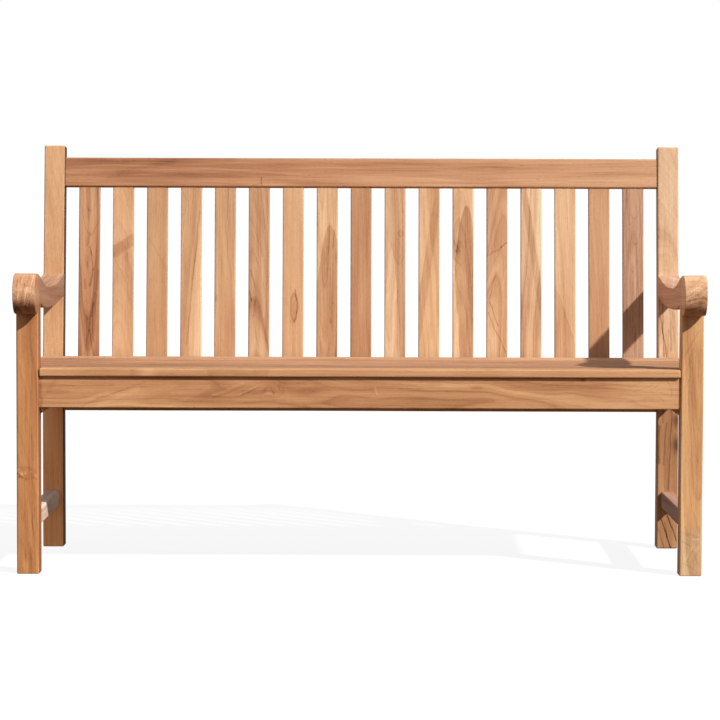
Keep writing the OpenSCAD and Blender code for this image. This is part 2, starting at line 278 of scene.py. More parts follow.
def box_into(bm, corner, ax, ay, az, grow=0.0001):
    """A box from a corner along three full edges, a little larger all round."""
    u, v, w = ax.normalized() * grow, ay.normalized() * grow, az.normalized() * grow
    c = corner - u - v - w
    ax, ay, az = ax + 2 * u, ay + 2 * v, az + 2 * w
    vs = [bm.verts.new(c + ax * i + ay * j + az * k) for i in (0, 1) for j in (0, 1) for k in (0, 1)]
    for f in ((0, 1, 3, 2), (4, 6, 7, 5), (0, 4, 5, 1), (2, 3, 7, 6), (0, 2, 6, 4), (1, 5, 7, 3)):
        bm.faces.new([vs[i] for i in f])


def cut(ob, fill):
    """Takes the shapes that fill(bm) draws out of the object."""
    bm = bmesh.new()
    fill(bm)
    bmesh.ops.recalc_face_normals(bm, faces=bm.faces)
    cutter = as_object("cutter", bm)
    mod = ob.modifiers.new("cut", "BOOLEAN")
    mod.operation = "DIFFERENCE"
    mod.solver = "MANIFOLD"
    mod.object = cutter
    bpy.context.view_layer.update()
    dg = bpy.context.evaluated_depsgraph_get()
    new = bpy.data.meshes.new_from_object(ob.evaluated_get(dg), depsgraph=dg)
    old = ob.data
    ob.modifiers.clear()
    ob.data = new
    bpy.data.meshes.remove(old)
    bpy.data.objects.remove(cutter)
    bm = bmesh.new()
    bm.from_mesh(ob.data)
    bmesh.ops.remove_doubles(bm, verts=bm.verts, dist=0.000002)
    bm.to_mesh(ob.data)
    bm.free()


# ---------------------------------------------------------------- materials


class Nodes:
    def __init__(self, mat):
        mat.use_nodes = True
        self.t = mat.node_tree
        self.t.nodes.clear()

    def node(self, kind, **props):
        n = self.t.nodes.new(kind)
        for k, v in props.items():
            setattr(n, k, v)
        return n

    def put(self, socket, value):
        if isinstance(value, bpy.types.NodeSocket):
            self.t.links.new(value, socket)
        else:
            socket.default_value = value

    def math(self, op, a, b=None, c=None, clamp=False):
        n = self.node("ShaderNodeMath", operation=op, use_clamp=clamp)
        for i, v in enumerate((a, b, c)):
            if v is not None:
                self.put(n.inputs[i], v)
        return n.outputs[0]

    def vec(self, op, a, b=None, scale=None):
        n = self.node("ShaderNodeVectorMath", operation=op)
        self.put(n.inputs[0], a)
        if b is not None:
            self.put(n.inputs[1], b)
        if scale is not None:
            self.put(n.inputs["Scale"], scale)
        return n.outputs["Value"] if op in ("LENGTH", "DOT_PRODUCT", "DISTANCE") else n.outputs[0]

    def noise(self, v, detail=2.0, rough=0.5, dims="3D", colour=False, scale=1.0):
        n = self.node("ShaderNodeTexNoise", noise_dimensions=dims)
        self.put(n.inputs["W" if dims == "1D" else "Vector"], v)
        n.inputs["Scale"].default_value = scale
        n.inputs["Detail"].default_value = detail
        n.inputs["Roughness"].default_value = rough
        return n.outputs["Color" if colour else "Fac"]

    def range(self, v, a, b, c=0.0, d=1.0, smooth=True):
        n = self.node("ShaderNodeMapRange", interpolation_type="SMOOTHSTEP" if smooth else "LINEAR")
        n.clamp = True if not smooth else n.clamp
        self.put(n.inputs["Value"], v)
        for name, val in (("From Min", a), ("From Max", b), ("To Min", c), ("To Max", d)):
            self.put(n.inputs[name], val)
        return n.outputs[0]

    def mix(self, fac, a, b, blend="MIX"):
        n = self.node("ShaderNodeMix", data_type="RGBA", blend_type=blend)
        self.put(n.inputs[0], fac)
        self.put(n.inputs[6], a)
        self.put(n.inputs[7], b)
        return n.outputs[2]

    def xyz(self, v):
        n = self.node("ShaderNodeSeparateXYZ")
        self.put(n.inputs[0], v)
        return n.outputs[0], n.outputs[1], n.outputs[2]

    def join(self, x, y, z):
        n = self.node("ShaderNodeCombineXYZ")
        for i, v in enumerate((x, y, z)):
            self.put(n.inputs[i], v)
        return n.outputs[0]

    def ramp(self, v, stops):
        n = self.node("ShaderNodeValToRGB")
        e = n.color_ramp.elements
        e[0].position, e[0].color = stops[0][0], (*stops[0][1], 1)
        e[1].position, e[1].color = stops[-1][0], (*stops[-1][1], 1)
        for p, c in stops[1:-1]:
            k = e.new(p)
            k.color = (*c, 1)
        self.put(n.inputs[0], v)
        return n.outputs[0]


TEAK = [
    (0.00, (0.045, 0.018, 0.008)),
    (0.15, (0.140, 0.055, 0.024)),
    (0.30, (0.290, 0.126, 0.058)),
    (0.45, (0.420, 0.203, 0.098)),
    (0.57, (0.512, 0.268, 0.135)),
    (0.70, (0.605, 0.350, 0.186)),
    (0.85, (0.700, 0.442, 0.252)),
    (1.00, (0.800, 0.560, 0.350)),
]


TINT = {
    "arm_left": (0.990, 0.925, 0.945),
    "arm_right": (1.000, 1.020, 1.050),
    "back_slat_01": (0.800, 0.706, 0.658),
    "back_slat_02": (0.931, 0.891, 0.857),
    "back_slat_03": (0.847, 0.802, 0.748),
    "back_slat_04": (0.927, 0.922, 0.895),
    "back_slat_05": (0.871, 0.839, 0.802),
    "back_slat_06": (0.846, 0.823, 0.817),
    "back_slat_07": (0.899, 0.860, 0.821),
    "back_slat_08": (1.028, 1.068, 1.078),
    "back_slat_09": (0.795, 0.721, 0.671),
    "back_slat_10": (0.931, 0.958, 0.994),
    "back_slat_11": (0.990, 0.995, 0.960),
    "back_slat_12": (1.077, 1.126, 1.146),
    "back_slat_13": (0.841, 0.770, 0.724),
    "back_slat_14": (1.073, 1.171, 1.249),
    "back_slat_15": (0.949, 0.925, 0.922),
    "back_slat_16": (0.845, 0.761, 0.721),
    "back_slat_17": (0.945, 0.988, 1.110),
    "front_apron": (0.988, 0.918, 0.823),
    "front_leg_left": (1.041, 0.946, 0.795),
    "front_leg_right": (1.225, 1.235, 1.095),
    "rear_leg_left": (0.965, 0.959, 0.940),
    "rear_leg_right": (0.964, 1.010, 1.070),
    "seat_slat_1": (1.021, 0.987, 0.920),
    "seat_slat_2": (0.665, 0.601, 0.612),
    "seat_slat_3": (0.665, 0.601, 0.612),
    "seat_slat_4": (0.860, 0.760, 0.680),
    "seat_slat_5": (0.850, 0.770, 0.800),
    "seat_slat_6": (0.850, 0.770, 0.800),
    "top_rail": (0.862, 0.793, 0.761),
}


def marked(g, v, b, s, marks, plane):
    """Draws a board's own figure, and on some boards painted light and shade: each mark is a kind,
    sizes in mm across and along the board, and how much darker (or, below 0, lighter) it makes the wood.
    streak: a line between two points; edge: everything to the right of a line;
    band: a stripe along a line; arch: a parabola with its apex, its bend, its line and its inside;
    spot: an oval; eye: an oval's rim and its inside."""
    off = g.vec("SUBTRACT", g.noise(g.vec("MULTIPLY", s, (34.0, 34.0, 21.0)), 2.5, 0.6, colour=True), (0.5, 0.5, 0.5))
    if plane == (0, 2):
        p = g.vec("ADD", b, g.vec("MULTIPLY", off, (0.0070, 0.0, 0.018)))
    else:
        c = g.xyz(g.vec("ADD", b, g.vec("MULTIPLY", off, (0.006, 0.009, 0.0))))
        p = g.join(c[plane[0]], 0.0, c[plane[1]])
    p = g.vec("MULTIPLY", p, (1000.0, 0.0, 1000.0))
    for kind, *m in marks:
        if kind == "streak":
            w0, l0, w1, l1, width, depth = m
            d = Vector((w1 - w0, 0, l1 - l0))
            pa = g.vec("SUBTRACT", p, (w0, 0, l0))
            u = g.math("MULTIPLY", g.vec("DOT_PRODUCT", pa, tuple(d)), 1 / d.length_squared, clamp=True)
            far = g.vec("LENGTH", g.vec("SUBTRACT", pa, g.vec("SCALE", tuple(d), scale=u)))
            x = g.range(far, 0.0, width * 2, depth, 0.0)
            v = g.math("SUBTRACT", v, x)
        elif kind in ("edge", "band"):
            w0, l0, w1, l1 = m[:4]
            n = Vector((l1 - l0, 0, w0 - w1)).normalized()
            d = g.vec("DOT_PRODUCT", g.vec("SUBTRACT", p, (w0, 0, l0)), tuple(n))
            if kind == "edge":
                soft, depth = m[4:]
                x = g.range(d, -soft, soft, 0.0, depth)
            else:
                half, soft, depth = m[4:]
                x = g.range(g.math("ABSOLUTE", d), half - soft, half + soft, depth, 0.0)
            v = g.math("SUBTRACT", v, x)
        elif kind == "arch":
            w0, l0, c, width, depth, inside = m
            pw, _, pl = g.xyz(p)
            dw = g.math("SUBTRACT", pw, w0)
            f = g.math("SUBTRACT", g.math("SUBTRACT", pl, l0), g.math("MULTIPLY", g.math("MULTIPLY", dw, dw), c))
            if depth:
                v = g.math("SUBTRACT", v, g.range(g.math("ABSOLUTE", f), 0.0, width * 2, depth, 0.0))
            if inside:
                a = 1 if c > 0 else -1
                v = g.math("SUBTRACT", v, g.range(f, -width * a, width * a, 0.0, inside))
        else:
            w0, l0, rw, rl = m[:4]
            e = g.vec("LENGTH", g.vec("MULTIPLY", g.vec("SUBTRACT", p, (w0, 0, l0)), (1 / rw, 0, 1 / rl)))
            if kind == "spot":
                v = g.math("SUBTRACT", v, g.range(e, 0.0, 1.7, m[4], 0.0))
            else:
                rim = g.math("ABSOLUTE", g.math("SUBTRACT", e, 1.0))
                v = g.math("SUBTRACT", v, g.range(rim, 0.0, 0.30, m[4], 0.0))
                v = g.math("SUBTRACT", v, g.range(e, 1.15, 0.7, 0.0, m[5]))
    return v


def teak(name, seed, tone=0.66, tint=(1, 1, 1), pith=(0.01, 0.05), tilt=(0.02, 0.0), figure=1.0,
         streak=1.0, slope=0.0, sap=None, dark=(), knots=(), wave=1.0, half=0.0, marks=(), plane=(0, 2), tints_and_painted_light=()):
    """Sawn teak. The growth rings are shells round a pith that lies at pith from the board's
    middle and runs out of line with it by tilt. sap is (ring distance, softness, lightening):
    the pale wood outside a ring. dark is a list of (ring distance, width, depth): darker
    layers. knots are (across, along, size, stretch, strength). marks are described above."""
    mat = bpy.data.materials.new(name)
    g = Nodes(mat)
    b = g.node("ShaderNodeAttribute", attribute_type="GEOMETRY", attribute_name="board").outputs["Vector"]
    end = g.node("ShaderNodeAttribute", attribute_type="GEOMETRY", attribute_name="end_grain").outputs["Fac"]
    sx, sy, sz = (seed * 1.731) % 7, (seed * 2.377) % 5, (seed * 0.913) % 9
    s = g.vec("ADD", b, (sx, sy, sz))
    # slow bends of the fibres
    bend = g.vec("SUBTRACT", g.noise(g.vec("MULTIPLY", s, (7.0, 7.0, 1.5)), 1.0, colour=True), (0.5, 0.5, 0.5))
    bend2 = g.vec("SUBTRACT", g.noise(g.vec("MULTIPLY", s, (26.0, 26.0, 7.0)), 1.0, colour=True), (0.5, 0.5, 0.5))
    w, t, l = g.xyz(g.vec("ADD", b, g.vec("ADD", g.vec("MULTIPLY", bend, (0.045 * wave, 0.045 * wave, 0)),
                                          g.vec("MULTIPLY", bend2, (0.009 * wave, 0.009 * wave, 0)))))
    px = g.math("ADD", g.math("MULTIPLY", l, tilt[1]), g.math("ADD", w, pith[0]))
    py = g.math("ADD", g.math("MULTIPLY", l, tilt[0]), g.math("ADD", t, pith[1]))
    q = g.vec("LENGTH", g.join(px, py, 0.0))
    bw, bt, bl = g.xyz(b)
    core = None
    for kw, kl, size, stretch, strength in knots:
        ex = g.math("MULTIPLY", g.math("SUBTRACT", bw, kw), 1 / size)
        ey = g.math("MULTIPLY", g.math("SUBTRACT", bl, kl), 1 / (size * stretch))
        e = g.math("ADD", g.math("MULTIPLY", ex, ex), g.math("MULTIPLY", ey, ey))
        wob = g.math("MULTIPLY_ADD", g.noise(g.vec("MULTIPLY", s, (180, 180, 60)), 2.0), 1.2, -0.6)
        e = g.math("ADD", e, g.math("MULTIPLY", wob, 0.5))
        hump = g.math("EXPONENT", g.math("MULTIPLY", e, -0.35))
        q = g.math("ADD", q, g.math("MULTIPLY", hump, 0.016 * strength))
        rim = g.math("MULTIPLY", g.range(e, 0.15, 0.75), g.range(e, 1.9, 0.9))
        heart = g.range(e, 0.55, 0.1)
        k = g.math("MULTIPLY", g.math("MAXIMUM", g.math("MULTIPLY", rim, 1.0), g.math("MULTIPLY", heart, 0.55)), 0.34 * strength)
        core = k if core is None else g.math("ADD", core, k)
    # growth layers: broad zones, single rings, thin late-wood lines
    zone = g.math("MULTIPLY_ADD", g.noise(g.math("ADD", g.math("MULTIPLY", q, 34.0), seed * 1.3), 1.5, dims="1D"), 2.0, -1.0)
    ring = g.math("MULTIPLY_ADD", g.noise(g.math("ADD", g.math("MULTIPLY", q, 150.0), seed * 2.9), 2.0, dims="1D"), 2.0, -1.0)
    tick = g.math("ADD", g.math("MULTIPLY", q, 175.0), g.math("MULTIPLY", g.noise(g.math("MULTIPLY", q, 60.0), 1.0, dims="1D"), 3.5))
    saw = g.math("FRACT", tick)
    line = g.math("MULTIPLY", g.range(saw, 0.55, 0.93), g.range(saw, 1.0, 0.955))
    blot = g.math("MULTIPLY_ADD", g.noise(g.vec("MULTIPLY", s, (16.0, 16.0, 4.2)), 2.0), 2.0, -1.0)
    lot = g.math("MULTIPLY_ADD", g.noise(g.vec("MULTIPLY", s, (95.0, 95.0, 3.0)), 2.5, 0.55), 2.0, -1.0)
    fine = g.math("MULTIPLY_ADD", g.noise(g.vec("MULTIPLY", s, (520.0, 520.0, 9.0)), 2.0, 0.6), 2.0, -1.0)
    pore = g.range(g.noise(g.vec("MULTIPLY", s, (1500.0, 1500.0, 75.0)), 1.0), 0.60, 0.72)
    v = g.math("MULTIPLY_ADD", zone, 0.34 * figure, tone)
    v = g.math("MULTIPLY_ADD", ring, 0.16 * figure, v)
    v = g.math("MULTIPLY_ADD", line, -0.085 * figure, v)
    v = g.math("MULTIPLY_ADD", blot, 0.17, v)
    v = g.math("MULTIPLY_ADD", lot, 0.17 * streak, v)
    v = g.math("MULTIPLY_ADD", fine, 0.15, v)
    v = g.math("MULTIPLY_ADD", pore, -0.15, v)
    if slope:
        v = g.math("MULTIPLY_ADD", g.math("SUBTRACT", bl, half), slope, v)
    if sap:
        v = g.math("MULTIPLY_ADD", g.range(q, sap[0] - sap[1] / 2, sap[0] + sap[1] / 2), sap[2], v)
    for dq, dw, dd in dark:
        x = g.math("MULTIPLY", g.math("SUBTRACT", q, dq), 1 / dw)
        v = g.math("MULTIPLY_ADD", g.math("EXPONENT", g.math("MULTIPLY", g.math("MULTIPLY", x, x), -1.0)), -dd, v)
    if core is not None:
        v = g.math("SUBTRACT", v, core)
    if marks:
        v = marked(g, v, b, s, marks, plane)
    v = g.math("MULTIPLY_ADD", end, -0.08, v)
    scratch = g.math("MULTIPLY_ADD", g.noise(g.vec("MULTIPLY", s, (420.0, 130.0, 420.0)), 3.0, 0.65), 2.0, -1.0)
    v = g.math("MULTIPLY_ADD", g.math("MULTIPLY", scratch, end), 0.42, v)
    colour = g.ramp(v, TEAK)
    k = TINT.get(name[5:], (1, 1, 1))
    tint = tuple(a * c for a, c in zip(tint, k))
    if tint != (1, 1, 1):
        colour = g.mix(1.0, colour, (*tint, 1), "MULTIPLY")
    # tints on parts of a board, most of them painted light and shade: everything to the right of a line
    # takes a tint, or only as deep as the last number says
    for w0, l0, w1, l1, soft, tint_colour, *deep in tints_and_painted_light:
        n = Vector((l1 - l0, 0, w0 - w1)).normalized()
        d = g.vec("DOT_PRODUCT", g.vec("SUBTRACT", b, (w0 / 1000, 0, l0 / 1000)), tuple(n))
        much = g.range(d, -soft / 1000, soft / 1000, 0.0, 1.0)
        for t0 in deep:
            much = g.math("MULTIPLY", much, g.range(bt, t0, t0 + 0.005, 1.0, 0.0))
        colour = g.mix(much, colour, (*tint_colour, 1), "MULTIPLY")
    out = g.node("ShaderNodeOutputMaterial")
    p = g.node("ShaderNodeBsdfPrincipled")
    g.put(p.inputs["Base Color"], colour)
    rough = g.math("MULTIPLY_ADD", fine, 0.10, g.math("MULTIPLY_ADD", pore, 0.16, 0.56))
    g.put(p.inputs["Roughness"], g.math("MULTIPLY_ADD", end, 0.12, rough))
    p.inputs["Specular IOR Level"].default_value = 0.36
    height = g.math("MULTIPLY_ADD", fine, 0.35, g.math("MULTIPLY_ADD", lot, 0.35, g.math("MULTIPLY", line, 0.25)))
    height = g.math("MULTIPLY_ADD", pore, -0.8, height)
    bump = g.node("ShaderNodeBump")
    bump.inputs["Strength"].default_value = 0.35
    bump.inputs["Distance"].default_value = 0.00035
    g.put(bump.inputs["Height"], height)
    g.put(p.inputs["Normal"], bump.outputs[0])
    g.t.links.new(p.outputs[0], out.inputs[0])
    return mat


def steel(name):
    mat = bpy.data.materials.new(name)
    g = Nodes(mat)
    geo = g.node("ShaderNodeNewGeometry").outputs["Position"]
    turn = g.noise(g.vec("MULTIPLY", geo, (3000.0, 3000.0, 400.0)), 2.0)
    spot = g.noise(g.vec("MULTIPLY", geo, (220.0, 220.0, 220.0)), 3.0)
    out = g.node("ShaderNodeOutputMaterial")
    p = g.node("ShaderNodeBsdfPrincipled")
    p.inputs["Metallic"].default_value = 1.0
    g.put(p.inputs["Base Color"], g.ramp(spot, [(0.3, (0.42, 0.42, 0.43)), (0.7, (0.62, 0.63, 0.64))]))
    g.put(p.inputs["Roughness"], g.math("MULTIPLY_ADD", turn, 0.25, 0.22))
    bump = g.node("ShaderNodeBump")
    bump.inputs["Strength"].default_value = 0.2
    bump.inputs["Distance"].default_value = 0.0001
    g.put(bump.inputs["Height"], turn)
    g.put(p.inputs["Normal"], bump.outputs[0])
    g.t.links.new(p.outputs[0], out.inputs[0])
    return mat


# ---------------------------------------------------------------- finishing a piece


def finish(ob, axes, mat, slot, *nodes):
    """Gives a piece its grain coordinates, normals, material and body, and hides its CAD part."""
    origin, along, wide, thick = axes
    me = ob.data
    me.attributes.new("board", "FLOAT_VECTOR", "POINT")
    me.attributes.new("end_grain", "FLOAT", "POINT")
    flat = []
    for v in me.vertices:
        p = v.co - origin
        flat += [p.dot(wide), p.dot(thick), p.dot(along)]
    facing = [min(1.0, abs(n.vector.dot(along)) ** 2) for n in me.vertex_normals]
    me.attributes["board"].data.foreach_set("vector", flat)
    me.attributes["end_grain"].data.foreach_set("value", facing)
    me.polygons.foreach_set("use_smooth", [True] * len(me.polygons))
    me.set_sharp_from_angle(angle=math.radians(40))
    m = ob.modifiers.new("normals", "WEIGHTED_NORMAL")
    m.keep_sharp = True
    m.weight = 50
    me.materials.clear()
    me.materials.append(mat)
    if "axes" in ob:
        del ob["axes"]
    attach(ob, "root")
    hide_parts(*nodes)


TENON = 0.012


def mirrored(side, bm, draw):
    """Draws with draw(sx) where sx mirrors X for the given side: -1 left, +1 right."""
    draw(side)


def side_box(bm, side, xa, xb, da, db, za, zb):
    lo, hi = sorted((side * xa, side * xb))
    box_into(bm, at(lo, da, za), X * (hi - lo), Y * (db - da), Z * (zb - za))


def lean_box(bm, xa, xb, ta, tb, sa, sb):
    lo, hi = sorted((xa, xb))
    box_into(bm, leaned(lo, ta, sa), X * (hi - lo), BACK * (tb - ta), UP * (sb - sa))


def peg_cut(bm, origin, axis, depth, r):
    lathe_into(bm, origin - axis * 0.0027, axis, [(0, r), (depth + 0.0027, r)], 27)


PEG_HOLE, PLUG_HOLE = 0.0041, 0.0051
SIDE_PEGS = [(0.037, RAIL_Z - 0.069), (0.037, RAIL_Z - 0.022), (POST_Y + 0.007, RAIL_Z - 0.069), (POST_Y + 0.007, RAIL_Z - 0.022)]
STRETCH_PEGS = [(0.037, 0.116), (POST_Y + 0.010, 0.116)]
REAR_PEGS = [RAIL_Z - 0.050, RAIL_Z - 0.023]
TOP_PEGS = [RAIL_S + 0.021, RAIL_S + RAIL_H - 0.021]
ARM_S = 0.225
ARM_TOP = span("arm_left", 2)[1]
ARM_UNDER = 0.590
APRON_Z0 = span("front_apron", 2)[0]
REAR_Z0 = span("rear_seat_rail", 2)[0]
SIDE_Z0 = RAIL_Z - 0.091


def seat_d(k):
    return span("seat_slat_1", 1)[0] - Y0 if k == 1 else (k - 1) * SEAT_PITCH


def screw_d(k):
    return 0.0196 if k == 1 else seat_d(k) + 0.025


def screw_xs(k):
    return [-INNER + 0.035, -0.235, 0.235, INNER - 0.035] if k == 1 else [-LEG_MID, -0.235, 0.235, LEG_MID]


def screw_cut(bm, x, d, plug=True):
    o = at(x, d, SEAT_Z + 0.002)
    if plug:
        lathe_into(bm, o, -Z, [(0, PLUG_HOLE), (0.011, PLUG_HOLE), (0.011, 0.0026), (0.041, 0.0026)], 24)
    else:
        lathe_into(bm, at(x, d, RAIL_Z + 0.002), -Z, [(0, 0.0026), (0.023, 0.0026)], 16)


# ---------------------------------------------------------------- legs

LEG_LOOK = {
    -1: dict(seed=3.2, tone=0.53, tint=(1.0, 0.92, 0.80), pith=(0.012, 0.085), tilt=(0.03, 0.02), figure=0.55, streak=0.9,
             # painted shade: the leg's inner side, which faces the middle, darker
             tints_and_painted_light=[(23.4, 0, 23.4, 100, 0.5, (0.62, 0.54, 0.56))],
             marks=[("streak", -24, 222, -12, 214, 1.6, 0.24), ("streak", -12, 214, 2, 208, 1.2, 0.12), ("streak", 12, 212, 22, 206, 1.2, 0.12),
                    ("spot", -13, 221, 3, 4, -0.34), ("spot", -6, 224, 2, 3, -0.28), ("spot", -18, 213, 2.5, 3, 0.30), ("spot", 8, 226, 2, 2, -0.20),
                    ("spot", 17, 216, 3, 4, -0.20), ("streak", -22, 236, 6, 234, 2.0, 0.08), ("streak", 14, 120, 21, 10, 2.0, -0.05), ("edge", -30, 75, 30, 75, 30, 0.03), ("streak", 10, 130, 16, 20, 1.2, 0.10),
                    ("eye", -2, 220, 20, 13, 0.04, 0.04), ("streak", -8, 205, -6, 150, 2.4, 0.05), ("streak", -24, 260, -20, 236, 1.5, 0.10),
                    ("streak", 8, 330, 10, 250, 2.0, 0.05), ("spot", -6, 18, 9, 14, -0.12), ("streak", 6, 60, 8, 0, 1.2, 0.10),
                    ("streak", -12, 540, -14, 430, 1.6, 0.05), ("streak", 12, 520, 10, 400, 1.6, 0.05)]),
    1: dict(seed=8.9, tone=0.60, tint=(1.0, 0.985, 0.95), pith=(-0.03, 0.07), tilt=(-0.05, 0.03), figure=0.75, streak=0.8,
            sap=(0.066, 0.01, 0.10),
            tints_and_painted_light=[(-26, 96, 26, 108, 14, (0.92, 1.02, 1.20))],
            # the first mark is painted light: the leg lighter above 505 mm, just under the arm's scroll
            marks=[("edge", 30, 505, -30, 505, 40, -0.06), ("spot", 8, 62, 9, 8, -0.10), ("spot", -6, 44, 8, 9, -0.09), ("streak", 18, 72, 4, 56, 1.2, 0.10), ("streak", 4, 56, -10, 30, 1.2, 0.10),
                   ("streak", 20, 58, 6, 36, 1.2, 0.08), ("streak", -20, 76, -2, 66, 1.1, 0.12), ("streak", -18, 30, 8, 14, 1.4, 0.09), ("streak", 2, 80, 20, 82, 1.2, -0.10),
                   ("streak", -20, 96, 18, 84, 2.0, 0.06), ("streak", -14, 110, -4, 86, 1.0, 0.10), ("streak", -22, 60, -18, 20, 1.2, 0.08),
                   ("streak", -20, 480, 16, 540, 1.4, 0.08), ("streak", -22, 430, 4, 500, 1.4, 0.06), ("spot", 10, 16, 12, 12, -0.06)]),
}
REAR_LOOK = {
    -1: dict(seed=14.6, tone=0.70, tint=(1.0, 0.96, 0.92), pith=(0.05, 0.06), tilt=(0.015, 0.03), figure=0.5, streak=0.7,
             # painted shade: the leg's inner side nearly black; painted light: below the seat the front face lighter
             # and warmer (the second tint), and the leg lighter below 430 mm (the edge mark)
             tints_and_painted_light=[(23.2, 0, 23.2, 100, 0.6, (0.14, 0.12, 0.12)), (-30, 440, 30, 440, 20, (1.58, 1.29, 1.00), -0.0288)],
             marks=[("streak", 20, 760, 16, 640, 1.6, 0.05), ("edge", -30, 430, 30, 430, 20, -0.10), ("streak", -20, 330, 20, 327, 1.2, -0.10)]),
    1: dict(seed=21.3, tone=0.80, tint=(1.0, 0.99, 0.99), pith=(-0.02, 0.045), tilt=(0.04, 0.05), figure=0.55, streak=1.1,
            # painted shade under the seat: the front face darker and warmer below 425 mm, the leg darker below 450 mm;
            # the spots at 306 and 245 mm are painted shadows; the leg also turns darker below 300 mm
            tints_and_painted_light=[(-30, 425, 30, 425, 14, (0.92, 0.84, 0.69), -0.0288)],
            marks=[("edge", -30, 450, 30, 450, 15, 0.16), ("edge", -30, 300, 30, 300, 30, 0.05), ("streak", -14, 575, -11, 455, 1.3, 0.40), ("streak", -18, 545, -4, 455, 1.2, 0.38),
                   ("streak", 4, 590, 6, 470, 1.6, 0.22), ("streak", 13, 560, 15, 470, 1.4, 0.14), ("streak", -20, 590, -19, 500, 1.2, 0.20), ("streak", 0, 520, -2, 460, 1.0, 0.24), ("streak", 9, 600, 10, 520, 1.0, 0.16), ("spot", 18, 306, 8, 18, 0.34), ("spot", 19, 245, 9, 17, 0.28), ("streak", 2, 900, 2, 640, 1.4, 0.09),
                   ("streak", -8, 800, -10, 620, 1.2, 0.09), ("streak", 14, 880, 12, 700, 1.2, 0.07), ("streak", -8, 380, -14, 300, 1.4, 0.24),
                   ("streak", 8, 330, 2, 140, 1.4, 0.26), ("streak", -4, 300, -10, 200, 1.2, 0.24), ("streak", -21, 290, -22, 200, 2.2, 0.30),
                   ("streak", -16, 74, 8, 4, 1.3, 0.42), ("streak", -4, 92, 22, 20, 1.3, 0.40), ("streak", 10, 104, 22, 64, 1.8, 0.40), ("streak", -6, 62, 0, 30, 1.0, 0.25),
                   ("streak", -22, 50, -8, 6, 1.2, 0.18), ("streak", -12, 86, -2, 66, 1.2, -0.10)]),
}
ARM_LOOK = {
    -1: dict(seed=31.7, tone=0.66, pith=(0.005, 0.04), tilt=(0.05, 0.0), figure=0.8, streak=0.8, plane=(0, 1),
             # painted light and shade: behind its scroll end the arm greyer and bluer, its inner side darker, and by
             # the two edge marks lighter at the top and darker along the underside
             tints_and_painted_light=[(30, 8, -30, 8, 8, (0.80, 0.79, 0.88)), (23.2, 0, 23.2, 100, 0.5, (0.70, 0.70, 0.71))],
             marks=[("streak", -14, 32, -17, -22, 1.5, 0.18), ("streak", -7, 36, -12, -2, 1.3, 0.14), ("streak", 2, 24, -6, -24, 1.5, 0.20),
                    ("streak", 11, 38, 6, 14, 1.2, 0.14), ("streak", 17, 20, 10, -22, 1.4, 0.16), ("edge", 30, 2, -30, -4, 12, -0.06), ("streak", -21, 10, -20, -26, 1.6, 0.18),
                    ("streak", 19, 40, 14, 2, 1.1, -0.26), ("streak", 7, 14, 1, -22, 1.1, -0.24), ("streak", -9, 22, -13, -14, 1.0, -0.22),
                    ("streak", -2, 40, -6, 22, 1.0, -0.16), ("streak", 13, -8, 7, -26, 1.0, -0.22), ("edge", -30, -20, 30, -18, 8, 0.20), ("streak", -16, -26, -8, -40, 1.6, 0.22), ("streak", 2, -24, 6, -38, 1.4, 0.18),
                    ("spot", -19, -34, 5, 7, 0.25), ("streak", -24, 43, 24, 43, 1.6, 0.12)]),
    1: dict(seed=37.1, tone=0.72, pith=(0.01, 0.05), tilt=(0.04, 0.02), figure=0.8, streak=0.9, plane=(0, 1),
            # painted light and shade: behind its scroll end the arm darker and pinker as in sky light, its inner side,
            # which is in shade, lighter, and by the edge mark darker along the underside
            tints_and_painted_light=[(30, 8, -30, 8, 8, (0.90, 0.85, 0.98)), (-23.2, 100, -23.2, 0, 0.5, (1.42, 1.38, 1.30))],
            marks=[("streak", -18, -10, 20, -3, 1.8, 0.20), ("streak", -14, -20, 6, -14, 1.4, 0.18), ("spot", 8, -16, 8, 6, 0.24), ("spot", 10, -17, 3, 2.5, 0.20),
                   ("streak", -20, 4, 14, 26, 1.4, -0.14), ("streak", -22, -6, -2, 6, 1.2, -0.14), ("streak", -10, 30, 18, 38, 1.2, 0.12), ("streak", -18, 14, 8, 34, 1.2, 0.10),
                   ("streak", 2, 2, 20, 16, 1.2, 0.12), ("streak", -20, -30, 16, -24, 1.6, 0.14), ("edge", -30, -24, 30, -24, 7, 0.10), ("spot", 20, -36, 5, 4, 0.25)]),
}


def front_leg(side):
    word = "left" if side < 0 else "right"
    node = f"front_leg_{word}"
    top = ARM_UNDER
    r = 0.004
    st = six(eased_end(0.0, 1, LEG_W, LEG_D, r, 0.002)) + tenon_end(top, -1, LEG_W, LEG_D, r, 0.016, 0.024, 0.034, 0, 0.0005)
    origin = at(side * LEG_MID, LEG_D / 2, 0)
    ob, axes = board(node + "_wood", origin, Z, X, LEG_W, LEG_D, st, r, 3 + side, nw=6, nt=6)
    # the tenon is 16 across and 24 deep, so its section is turned with the leg's

    def fill(bm):
        side_box(bm, side, INNER - 0.002, INNER + 0.029, 0.014, 0.025, APRON_Z0 + 0.008, RAIL_Z - 0.008)
        side_box(bm, side, LEG_MID - 0.006, LEG_MID + 0.006, 0.026, 0.049, SIDE_Z0 + 0.009, RAIL_Z - 0.009)
        side_box(bm, side, LEG_MID - 0.006, LEG_MID + 0.006, 0.026, 0.049, 0.102, 0.130)

    cut(ob, fill)

    def pegs(bm):
        for d, z in [p for p in SIDE_PEGS + STRETCH_PEGS if p[0] < 0.1]:
            peg_cut(bm, at(side * HALF, d, z), X * -side, 0.034, PEG_HOLE)
        peg_cut(bm, at(side * HALF, 0.024, top + 0.017), X * -side, 0.034, PEG_HOLE)

    cut(ob, pegs)
    finish(ob, axes, teak("teak_" + node, **LEG_LOOK[side]), "teak_frame", node)


